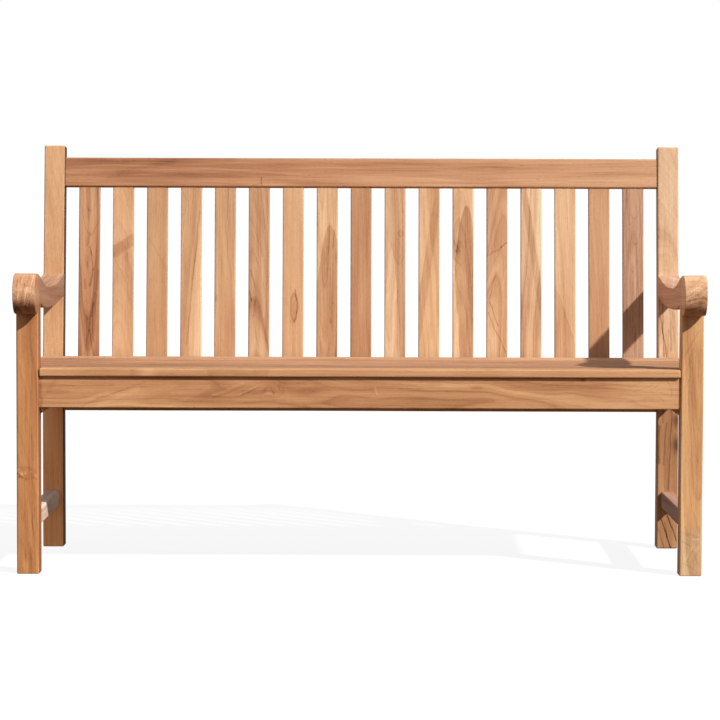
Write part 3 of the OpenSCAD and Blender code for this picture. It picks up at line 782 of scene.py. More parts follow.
def rear_leg(side):
    word = "left" if side < 0 else "right"
    node = f"rear_leg_{word}"
    d0, d1 = POST_Y, POST_Y + LEG_D

    def pt(t, s):
        p = leaned(0, t, s)
        return (p.y - Y0, p.z)

    knee_s = (LEG_D - POST_T * math.cos(LEAN)) / math.sin(LEAN)
    key = [(d0, 0), (d1, 0), pt(POST_T, knee_s), pt(POST_T, POST_TOP), pt(0, POST_TOP), (d0, KNEE_Z)]
    line = divided(fillet(key, [0.0034, 0.0034, 0.45, 0.0034, 0.0034, 0.40]), 0.03)
    x0 = side * LEG_MID - LEG_W / 2
    ob = sawn(node + "_wood", line, x0, x0 + LEG_W, 0.003)

    def fill(bm):
        side_box(bm, side, INNER - 0.002, INNER + 0.029, d0 + 0.015, d0 + 0.027, REAR_Z0 + 0.008, RAIL_Z - 0.008)
        lean_box(bm, side * (INNER - 0.002), side * (INNER + 0.029), 0.012, 0.024, RAIL_S + 0.008, RAIL_S + RAIL_H - 0.008)
        side_box(bm, side, LEG_MID - 0.006, LEG_MID + 0.006, d0 - 0.002, d0 + 0.0145, SIDE_Z0 + 0.009, RAIL_Z - 0.009)
        side_box(bm, side, LEG_MID - 0.006, LEG_MID + 0.006, d0 - 0.002, d0 + 0.021, 0.102, 0.130)
        lean_box(bm, side * (LEG_MID - 0.008), side * (LEG_MID + 0.008), -0.002, 0.017, ARM_S - 0.015, ARM_S + 0.015)

    cut(ob, fill)

    def outer_pegs(bm, pegs=SIDE_PEGS):
        for d, z in [p for p in pegs if p[0] > 0.1]:
            peg_cut(bm, at(side * HALF, d, z), X * -side, 0.034, PEG_HOLE)

    def pegs(bm):
        for z in REAR_PEGS:
            peg_cut(bm, at(side * (INNER + 0.012), d1, z), -Y, 0.036, PEG_HOLE)
        for s in TOP_PEGS:
            peg_cut(bm, leaned(side * (INNER + 0.012), POST_T, s), -BACK, 0.0318, PEG_HOLE)
        o = leaned(side * LEG_MID, POST_T + 0.002, ARM_S)
        lathe_into(bm, o, -BACK, [(0, PLUG_HOLE), (0.012, PLUG_HOLE), (0.012, 0.0026), (0.030, 0.0026)], 24)

    cut(ob, outer_pegs)
    cut(ob, lambda bm: outer_pegs(bm, STRETCH_PEGS))
    cut(ob, pegs)
    axes = (at(side * LEG_MID, d0 + 0.03, 0), Z, X, Y)
    finish(ob, axes, teak("teak_" + node, **REAR_LOOK[side]), "teak_frame", node)


# ---------------------------------------------------------------- arms


def hermite(p, q, mp, mq, t):
    h = q[0] - p[0]
    a, b = 1 - 3 * t * t + 2 * t ** 3, 3 * t * t - 2 * t ** 3
    return Vector((p[0] + h * t, p[1] * a + q[1] * b + h * mp * (t ** 3 - 2 * t * t + t) + h * mq * (t ** 3 - t * t)))


def arm(side):
    word = "left" if side < 0 else "right"
    node = f"arm_{word}"
    R, out, top, under = 0.044, 0.019, ARM_TOP, ARM_UNDER
    end = POST_Y + 0.060
    upper = [hermite((-out, top), (0.100, top - 0.022), 0, -0.25, i / 14) for i in range(15)]
    upper += [hermite((0.100, top - 0.022), (0.280, top - 0.035), -0.25, 0, i / 10) for i in range(1, 11)]
    upper += [hermite((0.280, top - 0.035), (end, top - 0.0105), 0, 0.1, i / 14) for i in range(1, 15)]
    lower = [hermite((0.250, 0.5765), (end, 0.597), 0, 0.09, 1 - i / 14) for i in range(15)]
    lower += [hermite((LEG_D + 0.004, under), (0.250, 0.5765), -0.2, 0, 1 - i / 12) for i in range(1, 13)]

    # both curves stop at the post's leaning face
    def face_d(z):
        return POST_Y + (z - KNEE_Z) * math.tan(LEAN)

    upper = [p for p in upper if p.x < face_d(p.y) - 0.006]
    lower = [p for p in lower if p.x < face_d(p.y) - 0.006]

    def slope_end(pts_a, pts_b):
        m = (pts_a.y - pts_b.y) / (pts_a.x - pts_b.x)
        y = pts_a.y
        for _ in range(6):
            y = pts_a.y + m * (face_d(y) - pts_a.x)
        return Vector((face_d(y), y))

    tip_u = slope_end(upper[-1], upper[-2])
    tip_l = slope_end(lower[0], lower[1])
    line = upper + [tip_u, tip_u.lerp(tip_l, 0.5), tip_l] + lower
    line += [Vector((LEG_D * f, under)) for f in (0.75, 0.5, 0.25)] + [Vector((0, under))]
    a0 = -math.acos(out / R)
    turn = [a0 + (-math.pi * 2 + math.pi / 2 - a0) * i / 54 for i in range(55)]
    drum = [Vector((-out + R * math.cos(a), top - R + R * math.sin(a))) for a in turn]
    drum = [p for p in drum[:-1]]
    line += drum
    x0 = side * LEG_MID - LEG_W / 2

    def keep(p):
        # the edges stay square against the post and over the leg
        rear = max(0.0, min(1.0, (face_d(p.y) - p.x) / 0.012))
        over = 1.0 if p.y > under + 0.004 or p.x > LEG_D + 0.004 or p.x < -0.001 else 0.15
        return rear * over

    ob = sawn(node + "_wood", line, x0, x0 + LEG_W, 0.0022, n=5, keep=keep)

    def fill(bm):
        side_box(bm, side, LEG_MID - 0.008, LEG_MID + 0.008, 0.012, 0.036, under - 0.002, under + 0.035)

    cut(ob, fill)

    def pegs(bm):
        peg_cut(bm, at(side * HALF, 0.024, under + 0.017), X * -side, 0.034, PEG_HOLE)

    cut(ob, pegs)
    axes = (at(side * LEG_MID, 0, 0.615), Y, X, Z)  # its marks are placed across and up
    finish(ob, axes, teak("teak_" + node, **ARM_LOOK[side]), "teak_frame", node)


# ---------------------------------------------------------------- rails


def rail_x(node, d, z0, t, h, r, tw, tenon, look, fill=None, lean=False):
    """A rail along X between the posts, tenoned at both ends. The section's width is its height."""
    half = INNER
    if lean:
        origin = leaned(0, d + t / 2, z0 + h / 2)
        up = UP
    else:
        origin = at(0, d + t / 2, z0 + h / 2)
        up = Z
    tt, tl, dv = tenon
    st = tenon_end(-half, 1, h, t, r, tw, tt, tl, 0, dv) + tenon_end(half, -1, h, t, r, tw, tt, tl, 0, dv)
    ob, axes = board(node + "_wood", origin, X, up, h, t, st, r, look["seed"], nw=8, nt=4)
    if fill:
        for f in fill:
            cut(ob, f)
    finish(ob, axes, teak("teak_" + node, **look), "teak_frame", node)


def slat_cuts(bm):
    for i in range(17):
        x = (i - 8) * PITCH
        lean_box(bm, x - SLAT_W / 2, x + SLAT_W / 2, 0.0085, 0.0215, SLAT_S0, SLAT_S1)


def apron():
    def bearers(bm):
        for x in (-0.235, 0.235):
            box_into(bm, at(x - 0.006, 0.0206, RAIL_Z - 0.054), X * 0.012, Y * 0.015, Z * 0.034)

    def screws(bm):
        for x in screw_xs(1):
            screw_cut(bm, x, screw_d(1), False)

    # along X with up as width, the section's thickness runs towards the front
    rail_x("front_apron", 0.0056, APRON_Z0, 0.028, RAIL_Z - APRON_Z0, 0.003, RAIL_Z - APRON_Z0 - 0.016, (0.011, 0.028, 0.0001),
           dict(seed=5.5, tone=0.57, pith=(0.02, 0.06), tilt=(0.012, 0.05), figure=0.9, streak=0.6, half=0.0,
                dark=[(0.085, 0.006, 0.07)], tint=(1.0, 0.98, 0.95), wave=1.4,
                marks=[("streak", -40, -697, 40, -697, 3.4, 0.17), ("streak", -30, -607, -11, -563, 1.8, 0.10), ("streak", -11, -563, 5, -519, 1.3, 0.14),
                       ("streak", 5, -519, 22, -468, 1.3, 0.09), ("spot", 16, -544, 2.5, 7, 0.14), ("streak", -28, -575, 8, -480, 4.0, -0.06),
                       ("streak", 30, -660, -10, -690, 4, 0.06), ("streak", -34, -420, 10, -330, 4, -0.05), ("streak", -14, -470, 14, -380, 5, 0.05),
                       ("streak", -3, -263, 16, -222, 1.3, -0.12), ("streak", -7, -262, 12, -222, 1.1, 0.14), ("streak", -6, -320, 21, -254, 1.6, -0.09),
                       ("streak", -11, -318, 16, -250, 1.2, 0.09), ("spot", -2, -200, 3, 9, -0.20), ("streak", 12, -192, -4, -188, 1.0, 0.17),
                       ("streak", 16, -178, 4, -172, 1.0, 0.15), ("spot", 10, -152, 4, 9, 0.08), ("eye", 4, -186, 14, 22, 0.07, 0.0),
                       ("streak", -22, -250, -16, -160, 2.0, 0.08), ("streak", -26, -120, -14, -20, 3.0, 0.05), ("streak", 24, -230, 20, -120, 3.0, 0.06),
                       ("streak", 14, 36, -2, 40, 1.3, -0.12), ("streak", 10, 28, -4, 34, 1.0, 0.08), ("spot", 16, 60, 14, 110, 0.05),
                       ("spot", 13, 255, 5, 14, 0.14), ("spot", 18, 160, 5, 20, 0.08), ("streak", 4, 190, -2, 330, 3.0, 0.05),
                       ("spot", 31, 486, 4, 6, 0.26), ("spot", 30, 497, 3, 5, -0.16), ("streak", 26, 470, 18, 400, 2.0, 0.07),
                       ("streak", 28, 673, 8, 681, 0.9, 0.20), ("streak", 8, 681, -8, 677, 0.9, 0.16), ("streak", 24, 655, 8, 635, 0.9, 0.12),
                       ("streak", -8, 650, -16, 664, 0.9, 0.14), ("streak", 20, 640, 4, 600, 1.0, 0.09), ("streak", 26, 618, 14, 588, 1.2, 0.07),
                       ("spot", 0, 645, 50, 90, -0.20), ("streak", -22, 560, -12, 640, 2.0, 0.05)]),
           [bearers, screws])


def rear_rail():
    def bearers(bm):
        for x in (-0.235, 0.235):
            box_into(bm, at(x - 0.006, POST_Y + 0.005, RAIL_Z - 0.054), X * 0.012, Y * 0.0145, Z * 0.034)

    def pegs(bm):
        for side in (-1, 1):
            for z in REAR_PEGS:
                peg_cut(bm, at(side * (INNER + 0.012), POST_Y + LEG_D, z), -Y, 0.036, PEG_HOLE)

    rail_x("rear_seat_rail", 0.007 + POST_Y, REAR_Z0, 0.028, RAIL_Z - REAR_Z0, 0.003, RAIL_Z - REAR_Z0 - 0.016, (0.012, 0.028, 0.0),
           dict(seed=12.4, tone=0.56, pith=(0.03, 0.07), tilt=(0.02, -0.03), figure=0.9, streak=0.8),
           [bearers, slat_cuts, pegs])


def top_rail():
    def pegs(bm):
        for side in (-1, 1):
            for s in TOP_PEGS:
                peg_cut(bm, leaned(side * (INNER + 0.012), POST_T, s), -BACK, 0.0318, PEG_HOLE)

    rail_x("top_rail", 0.004, RAIL_S, 0.028, RAIL_H, 0.004, RAIL_H - 0.016, (0.012, 0.028, 0.0),
           dict(seed=17.8, tone=0.555, pith=(0.07, 0.11), tilt=(0.004, 0.006), figure=0.55, streak=1.35, slope=0.075, half=0.0,
                tint=(1.0, 0.975, 0.98), wave=0.7,
                marks=[("edge", 40, 60, -40, 60, 560, -0.15), ("edge", -40, -560, 40, -560, 90, 0.05), ("streak", -2, -575, 27, -440, 5.0, 0.07), ("streak", -14, -600, 8, -480, 4.0, 0.05), ("streak", 26, -560, 27, -300, 5.0, 0.05),
                       ("streak", -12, -236, -29, -236, 1.5, 0.24), ("streak", -26, -236, -30, -254, 1.2, 0.14), ("spot", 18, 379, 2.5, 5, 0.10),
                       ("spot", -15, 419, 1.8, 3, 0.18), ("spot", 6, 336, 9, 22, 0.06), ("streak", 20, 100, 14, 320, 2.0, 0.05),
                       ("streak", -20, 60, -26, 260, 2.0, 0.05), ("streak", 4, -380, -8, -180, 3.0, 0.05), ("streak", 18, 420, 24, 640, 2.0, 0.04)]),
           [slat_cuts, pegs], lean=True)


def side_rail(side):
    word = "left" if side < 0 else "right"
    node = f"side_rail_{word}"
    h, t = 0.091, 0.030
    origin = at(side * LEG_MID, 0, RAIL_Z - h / 2)
    st = tenon_end(LEG_D, 1, h, t, 0.0025, h - 0.018, TENON, 0.020) + tenon_end(POST_Y, -1, h, t, 0.0025, h - 0.018, TENON, 0.014)
    ob, axes = board(node + "_wood", origin, Y, Z, h, t, st, 0.0025, 40 + side, nw=8, nt=4)

    def screws(bm):
        for k in range(2, 9):
            screw_cut(bm, side * LEG_MID, screw_d(k), False)
        for d, z in SIDE_PEGS:
            peg_cut(bm, at(side * HALF, d, z), X * -side, 0.034, PEG_HOLE)

    cut(ob, screws)
    finish(ob, axes, teak("teak_" + node, seed=50.3 + side * 3, tone=0.56, pith=(0.02, 0.05), tilt=(0.03, 0.05), figure=0.9), "teak_frame", node)


STRETCH_TINT = {-1: (1.14, 1.45, 2.20), 1: (0.82, 0.79, 0.97)}  # the left stretcher's tint makes it paler and grey, the right one's a little darker


def stretcher(side):
    word = "left" if side < 0 else "right"
    node = f"side_stretcher_{word}"
    h, t = 0.038, 0.030
    origin = at(side * LEG_MID, 0, 0.097 + h / 2)
    st = tenon_end(LEG_D, 1, h, t, 0.0035, h - 0.010, TENON, 0.020) + tenon_end(POST_Y, -1, h, t, 0.0035, h - 0.010, TENON, 0.020)
    ob, axes = board(node + "_wood", origin, Y, Z, h, t, st, 0.0035, 44 + side, nw=5, nt=4)

    def pegs(bm):
        for d, z in STRETCH_PEGS:
            peg_cut(bm, at(side * HALF, d, z), X * -side, 0.034, PEG_HOLE)

    cut(ob, pegs)
    finish(ob, axes, teak("teak_" + node, seed=60.9 + side * 5, tone=0.72, pith=(0.02, 0.03), tilt=(0.03, 0.02), figure=0.9,
                          tint=STRETCH_TINT[side]), "teak_frame", node)


def bearer(side):
    word = "left" if side < 0 else "right"
    node = f"seat_bearer_{word}"
    h, t = 0.060, 0.026
    d0, d1 = 0.0336, POST_Y + 0.007
    origin = at(side * 0.235, 0, RAIL_Z - h / 2)
    # the tenon sits low: its middle is 7 mm below the board's middle
    st = tenon_end(d0, 1, h, t, 0.002, 0.034, TENON, 0.012, -0.007) + tenon_end(d1, -1, h, t, 0.002, 0.034, TENON, 0.012, -0.007)
    ob, axes = board(node + "_wood", origin, Y, Z, h, t, st, 0.002, 48 + side, nw=6, nt=4)

    def screws(bm):
        for k in range(2, 9):
            screw_cut(bm, side * 0.235, screw_d(k), False)

    cut(ob, screws)
    finish(ob, axes, teak("teak_" + node, seed=70.2 + side * 4, tone=0.58, pith=(0.02, 0.03), tilt=(0.03, 0.02), figure=0.9), "teak_frame", node)


# ---------------------------------------------------------------- slats

# one line per back slat, from left to right
SLAT_LOOK = [
    dict(tone=0.50, pith=(0.002, 0.030), tilt=(-0.060, 0.00), figure=1.25, streak=1.5, slope=-0.16, dark=[(0.024, 0.003, 0.10)]),
    dict(tone=0.70, pith=(0.000, 0.045), tilt=(0.07, 0.02), figure=0.8, streak=0.6),
    dict(tone=0.655, pith=(0.04, 0.07), tilt=(0.01, 0.02), figure=0.45, streak=0.6),
    dict(tone=0.63, pith=(0.095, 0.01), tilt=(0.0, -0.085), figure=0.6, streak=0.7, sap=(0.083, 0.004, 0.04)),
    dict(tone=0.68, pith=(0.03, 0.05), tilt=(0.02, 0.04), figure=0.6, streak=0.8, slope=-0.06),
    dict(tone=0.65, pith=(0.004, 0.028), tilt=(0.05, 0.03), figure=1.1, streak=1.3, dark=[(0.036, 0.002, 0.16)]),
    dict(tone=0.74, pith=(0.03, 0.08), tilt=(0.01, 0.01), figure=0.3, streak=0.4),
    dict(tone=0.66, pith=(0.006, 0.040), tilt=(-0.055, 0.02), figure=0.8, streak=0.9, dark=[(0.030, 0.004, 0.14)]),
    dict(tone=0.56, pith=(0.06, 0.06), tilt=(0.01, 0.01), figure=0.4, streak=0.9),
    dict(tone=0.72, pith=(0.010, 0.035), tilt=(-0.045, 0.03), figure=0.9, streak=0.8, slope=-0.1),
    dict(tone=0.70, pith=(0.090, 0.01), tilt=(0.0, 0.075), figure=0.6, streak=0.6, sap=(0.118, 0.006, -0.12)),
    dict(tone=0.70, pith=(0.004, 0.035), tilt=(0.075, 0.01), figure=0.8, streak=0.8, dark=[(0.052, 0.007, 0.05)]),
    dict(tone=0.655, pith=(0.020, 0.030), tilt=(0.06, -0.10), figure=1.0, streak=0.8, slope=-0.08),
    dict(tone=0.655, pith=(0.080, 0.01), tilt=(0.0, -0.07), figure=0.8, streak=0.7, sap=(0.058, 0.004, 0.0), dark=[(0.066, 0.003, 0.14)]),
    dict(tone=0.78, pith=(0.100, 0.01), tilt=(0.0, 0.06), figure=0.5, streak=0.5, dark=[(0.100, 0.004, 0.10)]),
    dict(tone=0.665, pith=(0.03, 0.05), tilt=(0.02, 0.03), figure=0.6, streak=0.6),
    dict(tone=0.52, pith=(0.004, 0.022), tilt=(0.04, 0.02), figure=1.1, streak=1.5, tint=(0.97, 1.0, 1.05)),
]


# each back slat's own figure, from left to right; places are mm from its middle and mm above the seat
SLAT_MARKS = [
    [("arch", 1, 345, 0.15, 3.0, 0.10, 0), ("arch", 4, 288, 0.11, 3.5, 0.13, 0), ("edge", 30, 290, -30, 290, 25, -0.05), ("streak", 1, 259, 5, 240, 1.3, 0.22),
     ("streak", -3.5, 221, -2, 208, 1.0, 0.15), ("streak", -10, 182, -8, 161, 1.6, 0.22), ("streak", 21, 205, 20, 158, 1.6, 0.18),
     ("streak", 12, 128, 8, 94, 1.8, 0.22), ("streak", 8, 94, 12, 37, 1.4, 0.18), ("streak", 3, 62, 12, 5, 1.6, 0.18),
     ("spot", -10, 250, 8, 50, -0.07), ("spot", 16, 120, 9, 90, 0.08), ("spot", -18, 20, 5, 20, 0.08), ("spot", -1, 372, 9, 42, -0.13),
     ("streak", 4, 250, 9, 205, 1.6, 0.24), ("streak", 9, 205, 3, 165, 1.7, 0.26), ("streak", 14, 150, 3, 84, 1.8, 0.11), ("streak", 3, 80, -8, 8, 1.8, 0.13), ("streak", 18, 145, 15, 60, 1.4, 0.12)],
    [("band", -21, 249, 25, 275, 13, 3.0, 0.15), ("spot", 6, 236, 9, 8, 0.08), ("streak", -21, 230, -6, 208, 1.0, 0.14),
     ("streak", -6, 208, 10, 172, 1.0, 0.11), ("streak", 10, 172, 17, 90, 1.2, 0.08), ("edge", 12, 10, 18, 150, 3, 0.05), ("spot", -8, 160, 14, 40, -0.05),
     ("streak", 12, 400, 14, 330, 1.2, 0.06)],
    [("streak", -20, 278, 5, 240, 1.6, 0.07), ("streak", 5, 240, 21, 205, 1.6, 0.06), ("spot", -15, 139, 2.5, 4, 0.14),
     ("spot", -14, 180, 7, 6, 0.05), ("edge", -10, 0, -2, 180, 8, 0.04), ("arch", 0, 360, -0.12, 4, 0.04, 0)],
    [("edge", -12, 0, 21, 351, 1.5, -0.10), ("streak", 20, 345, 5, 185, 1.5, 0.16), ("streak", 5, 185, -9, 30, 1.3, 0.13),
     ("streak", -20, 386, -12, 372, 0.9, 0.12), ("spot", -19, 337, 2, 3, 0.10), ("streak", -6, 372, -8, 330, 1.0, 0.06)],
    [("streak", 9, 401, 1, 306, 1.2, 0.09), ("streak", 1, 306, 14, 183, 1.0, 0.11), ("spot", 14, 70, 14, 80, 0.09),
     ("spot", -21, 138, 3, 9, 0.15), ("arch", -8, 40, -0.35, 2, 0.07, 0), ("streak", 10, 330, 8, 300, 1.0, 0.06)],
    [("streak", 2, 404, 15, 303, 1.2, 0.15), ("spot", -15, 250, 7, 42, 0.14), ("streak", -20, 206, -9, 164, 1.6, 0.20),
     ("streak", -22, 151, -18, 132, 1.5, 0.24), ("streak", -10, 132, -13, 94, 1.3, 0.16), ("streak", -9, 69, -2, 28, 1.6, 0.15),
     ("streak", 9, 234, 12, 94, 2.6, -0.09), ("streak", -12, 390, -6, 340, 1.4, 0.08), ("streak", 4, 360, 2, 280, 1.0, 0.09), ("spot", 18, 60, 5, 40, 0.08)],
    [("eye", 3.0, 117, 7.8, 31, 0.20, 0.12), ("streak", 5, 158, 9, 132, 1.7, 0.24), ("streak", 9, 130, 9, 104, 1.9, 0.13), ("streak", 9, 104, 4, 84, 1.6, 0.16), ("streak", -7, 86, 1, 74, 1.2, 0.16),
     ("spot", 0, 330, 20, 50, 0.02), ("streak", 12, 130, 9, 100, 1.0, 0.08)],
    [("arch", 7, 312, -0.15, 4, 0, 0.17), ("streak", 7, 318, 4, 253, 1.1, 0.17), ("streak", 17, 298, 13, 262, 1.1, 0.17),
     ("streak", -3, 282, 0, 240, 1.1, 0.07), ("spot", 10, 82, 4, 5, 0.10), ("streak", -15, 37, -13, 5, 1.3, 0.11), ("spot", 22, 235, 4, 12, 0.1)],
    [("spot", 2, 290, 16, 95, 0.06), ("streak", 14, 330, 12, 230, 1.4, 0.05), ("streak", -14, 240, -12, 120, 1.4, 0.04), ("streak", 2, 100, 4, 10, 1.2, 0.05)],
    [("eye", 13, 291, 5.5, 7, 0.16, 0.06), ("streak", 19, 398, 17, 345, 1.3, 0.09), ("edge", 7, 8, 3, 165, 1.2, 0.12),
     ("arch", -8, 258, -0.62, 3, 0.03, -0.14), ("arch", 10, 222, 0.14, 2.5, 0.09, 0), ("spot", 14, 250, 12, 40, 0.05), ("streak", 6, 160, 7, 8, 1.0, 0.10)],
    [("band", -16.5, 126, 13.6, 332, 9, 2.0, 0.13), ("streak", 4, 350, -8, 240, 1.0, 0.07), ("streak", -8, 240, -21, 135, 1.0, 0.08),
     ("eye", 4, 60, 6, 18, 0.04, 0.02), ("spot", 22, 330, 5, 60, 0.05)],
    [("arch", 7.6, 358, -0.20, 2, 0.06, 0.22), ("edge", -21, 225, -7, 0, 1.2, -0.20), ("spot", -17, 258, 9, 20, 0.16),
     ("spot", -16, 252, 3, 4, 0.20), ("streak", -22, 274, -6, 250, 1.2, 0.14), ("streak", -22, 236, -8, 222, 1.2, 0.12), ("streak", -18, 208, -9, 150, 1.0, 0.09), ("streak", 6, 170, 10, 40, 1.6, 0.05), ("spot", 20, 330, 4, 6, 0.05),
     ("streak", 22, 200, 22, 80, 1.6, 0.07)],
    [("edge", -21, 234, 23, 270, 4, -0.06), ("streak", 24, 272, 10, 262, 1.2, 0.34), ("streak", 10, 262, -21, 240, 1.0, 0.18), ("streak", 20, 207, 13, 160, 1.3, -0.11),
     ("streak", 6, 221, -11, 160, 1.0, -0.06), ("streak", -1, 200, -18, 139, 1.1, 0.22), ("streak", -18, 133, 3, 75, 1.1, 0.34),
     ("streak", -22, 105, -2, 58, 1.1, 0.28), ("streak", -2, 58, 22, 8, 1.1, 0.26), ("spot", -10, 35, 12, 25, -0.06), ("streak", 8, 375, -2, 330, 1.6, -0.05)],
    [("band", -15, 377, 20, 153, 7.5, 1.5, 0.14), ("edge", 25, 180, -9, 397, 1.5, -0.12), ("streak", -7, 360, 8, 300, 0.9, 0.14), ("streak", 8, 300, 24, 185, 0.9, 0.10),
     ("streak", -18, 300, -6, 160, 1.3, 0.05), ("spot", -5, 120, 9, 14, 0.06), ("spot", 17, 20, 6, 26, -0.09), ("streak", -22, 150, -20, 60, 1.2, 0.08)],
    [("edge", -14, 146, 20, 44, 1.5, 0.12), ("streak", -14, 148, 20, 44, 1.0, 0.14), ("streak", 3, 397, 4, 330, 1.2, 0.07),
     ("streak", 4, 330, 20, 207, 1.1, 0.07), ("streak", 4, 280, 8, 220, 1.6, -0.05), ("spot", -18, 60, 6, 50, 0.05)],
    [("streak", -12, 352, -5, 300, 1.3, 0.06), ("streak", 8, 390, 4, 320, 2.0, -0.05), ("streak", 12, 220, 10, 120, 1.4, 0.05), ("arch", 4, 52, -0.3, 2.5, 0.10, 0.05)],
    [("arch", 3, 330, 0.2, 2.5, 0.10, 0), ("arch", 5, 268, 0.25, 2.5, 0.10, 0), ("arch", 2, 215, 0.2, 2, 0.07, 0), ("spot", -7, 315, 1.8, 3, 0.16),
     ("spot", 0, 205, 1.8, 4, 0.18), ("streak", 23, 400, 23, 290, 2.6, 0.14), ("streak", -14, 380, -10, 320, 1.2, 0.10), ("streak", 10, 180, 6, 120, 1.2, 0.10),
     ("spot", 4, 45, 3, 12, 0.12), ("streak", -10, 110, -6, 40, 1.5, 0.08)],
]


def raised(mark):
    """Moves a mark from its height above the seat to its place along the slat."""
    base = 1000 * ((SEAT_Z - KNEE_Z) / math.cos(LEAN) - SLAT_S0)
    kind, *m = mark
    m[1] += base
    if kind in ("streak", "edge", "band"):
        m[3] += base
    return (kind, *m)


def back_slats():
    for i in range(17):
        node = f"back_slat_{i + 1:02d}"
        x = (i - 8) * PITCH
        n = SLAT_S1 - SLAT_S0
        st = eased_end(0.0, 1, SLAT_W, 0.013, 0.0027, 0.0006, 2) + eased_end(n, -1, SLAT_W, 0.013, 0.0027, 0.0006, 2)
        origin = leaned(x, 0.015, SLAT_S0)
        ob, axes = board(node + "_wood", origin, UP, X, SLAT_W, 0.013, st, 0.0027, i * 1.37, nw=5, nt=2)
        # the last mark on every slat is painted light and shade: lighter towards the top, darker near the seat
        look = dict(seed=100.7 + i * 6.13, marks=[raised(m) for m in SLAT_MARKS[i] + [("edge", 30, 190, -30, 190, 190, -0.06)]], **SLAT_LOOK[i])
        finish(ob, axes, teak("teak_" + node, half=0.22, **look), "teak_slats", node)


SEAT_LOOK = [
    dict(tone=0.62, pith=(0.02, 0.09), tilt=(0.01, 0.01), figure=0.4, streak=0.7, slope=0.05, tint=(1.0, 0.99, 0.95),
         marks=[("edge", -30, -600, 30, -600, 50, -0.12), ("spot", -22, -466, 14, 20, -0.12), ("streak", -25, -500, -20, -440, 1.5, 0.08), ("streak", -25, -330, -24, -200, 1.6, 0.08)]),
    dict(tone=0.60, pith=(0.04, 0.08), tilt=(0.01, 0.02), figure=0.6, streak=0.9),
    dict(tone=0.63, pith=(0.01, 0.05), tilt=(0.02, 0.01), figure=0.9, streak=0.8),
    dict(tone=0.57, pith=(0.03, 0.07), tilt=(0.01, 0.03), figure=0.7, streak=1.0),
    dict(tone=0.66, pith=(0.02, 0.06), tilt=(0.02, 0.01), figure=0.8, streak=0.7),
    dict(tone=0.60, pith=(0.05, 0.06), tilt=(0.01, 0.02), figure=0.6, streak=0.9),
    dict(tone=0.64, pith=(0.01, 0.04), tilt=(0.015, 0.01), figure=1.0, streak=0.8),
    dict(tone=0.68, pith=(0.03, 0.09), tilt=(0.01, 0.02), figure=0.5, streak=0.7),
]


def seat_slats():
    for k in range(1, 9):
        node = f"seat_slat_{k}"
        w, t, r = 0.050, 0.018, 0.0036
        half = INNER - 0.001 if k == 1 else HALF
        st = eased_end(-half, 1, w, t, r, 0.0034) + eased_end(half, -1, w, t, r, 0.0034)
        origin = at(0, seat_d(k) + w / 2, RAIL_Z + t / 2)
        ob, axes = board(node + "_wood", origin, X, Y, w, t, st, r, 20 + k * 2.1, nw=6, nt=3)

        def holes(bm, k=k):
            for x in screw_xs(k):
                screw_cut(bm, x, screw_d(k))

        cut(ob, holes)
        look = dict(seed=210.1 + k * 7.9, **SEAT_LOOK[k - 1])
        finish(ob, axes, teak("teak_" + node, half=0.0, **look), "teak_slats", node)


# ---------------------------------------------------------------- pegs and plugs


def turned(name, node, slot, mat, places, profile, axis_note=None):
    bm = bmesh.new()
    for o, a in places:
        lathe_into(bm, o, a, profile, 28)
    bmesh.ops.recalc_face_normals(bm, faces=bm.faces)
    ob = as_object(name, bm)
    finish(ob, (Vector((0, 0, 0)), places[0][1], places[0][1].orthogonal().normalized(),
                places[0][1].cross(places[0][1].orthogonal().normalized())), mat, slot, node)
    return ob


def pegs():
    def pin(length, r=0.00395):
        e = 0.0006
        return [(0.0, r - e), (e * 0.35, r - e * 0.35), (e, r), (length - 0.001, r), (length, r - 0.001)]

    proud = 0.0001
    side, stretch, top, rear, armp = [], [], [], [], []
    for s in (-1, 1):
        side += [(at(s * (HALF + proud), d, z), X * -s) for d, z in SIDE_PEGS]
        stretch += [(at(s * (HALF + proud), d, z), X * -s) for d, z in STRETCH_PEGS]
        armp += [(at(s * (HALF + proud), 0.024, ARM_UNDER + 0.017), X * -s)]
        top += [(leaned(s * (INNER + 0.012), POST_T + proud, v), -BACK) for v in TOP_PEGS]
        rear += [(at(s * (INNER + 0.012), POST_Y + LEG_D + proud, z), -Y) for z in REAR_PEGS]
    peg_mat = teak("teak_peg_ends", seed=5.1, tone=0.50, pith=(0.002, 0.004), tilt=(0.02, 0.01), figure=0.6, streak=1.0)
    turned("side_rail_pegs_wood", "side_rail_pegs", "teak_pegs", peg_mat, side, pin(0.0338))
    turned("stretcher_pegs_wood", "stretcher_pegs", "teak_pegs", peg_mat, stretch, pin(0.0338))
    turned("arm_pegs_wood", "arm_pegs", "teak_pegs", peg_mat, armp, pin(0.0338))
    turned("top_rail_pegs_wood", "top_rail_pegs", "teak_pegs", peg_mat, top, pin(0.0316))
    turned("rear_rail_pegs_wood", "rear_rail_pegs", "teak_pegs", peg_mat, rear, pin(0.0358))
    plug = [(0.0, 0.0040), (0.0003, 0.0047), (0.0010, 0.00495), (0.0062, 0.00495), (0.0064, 0.0047)]
    places = [(at(x, screw_d(k), SEAT_Z + 0.0001), -Z) for k in range(1, 9) for x in screw_xs(k)]
    plug_mat = teak("teak_plugs", seed=9.4, tone=0.55, pith=(0.003, 0.006), tilt=(0.02, 0.01), figure=0.5, streak=1.2)
    turned("seat_plugs_wood", "seat_plugs", "teak_pegs", plug_mat, places, plug)
    places = [(leaned(s * LEG_MID, POST_T + 0.0001, ARM_S), -BACK) for s in (-1, 1)]
    turned("arm_plugs_wood", "arm_plugs", "teak_pegs", plug_mat, places, [(h * 1.17, r) for h, r in plug])


def screws():
    mat = steel("stainless_steel")
    for n in ("seat_screws", "arm_screws"):
        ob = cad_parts[n]
        ob.data.materials.clear()
        ob.data.materials.append(mat)


# ---------------------------------------------------------------- stage, light and camera


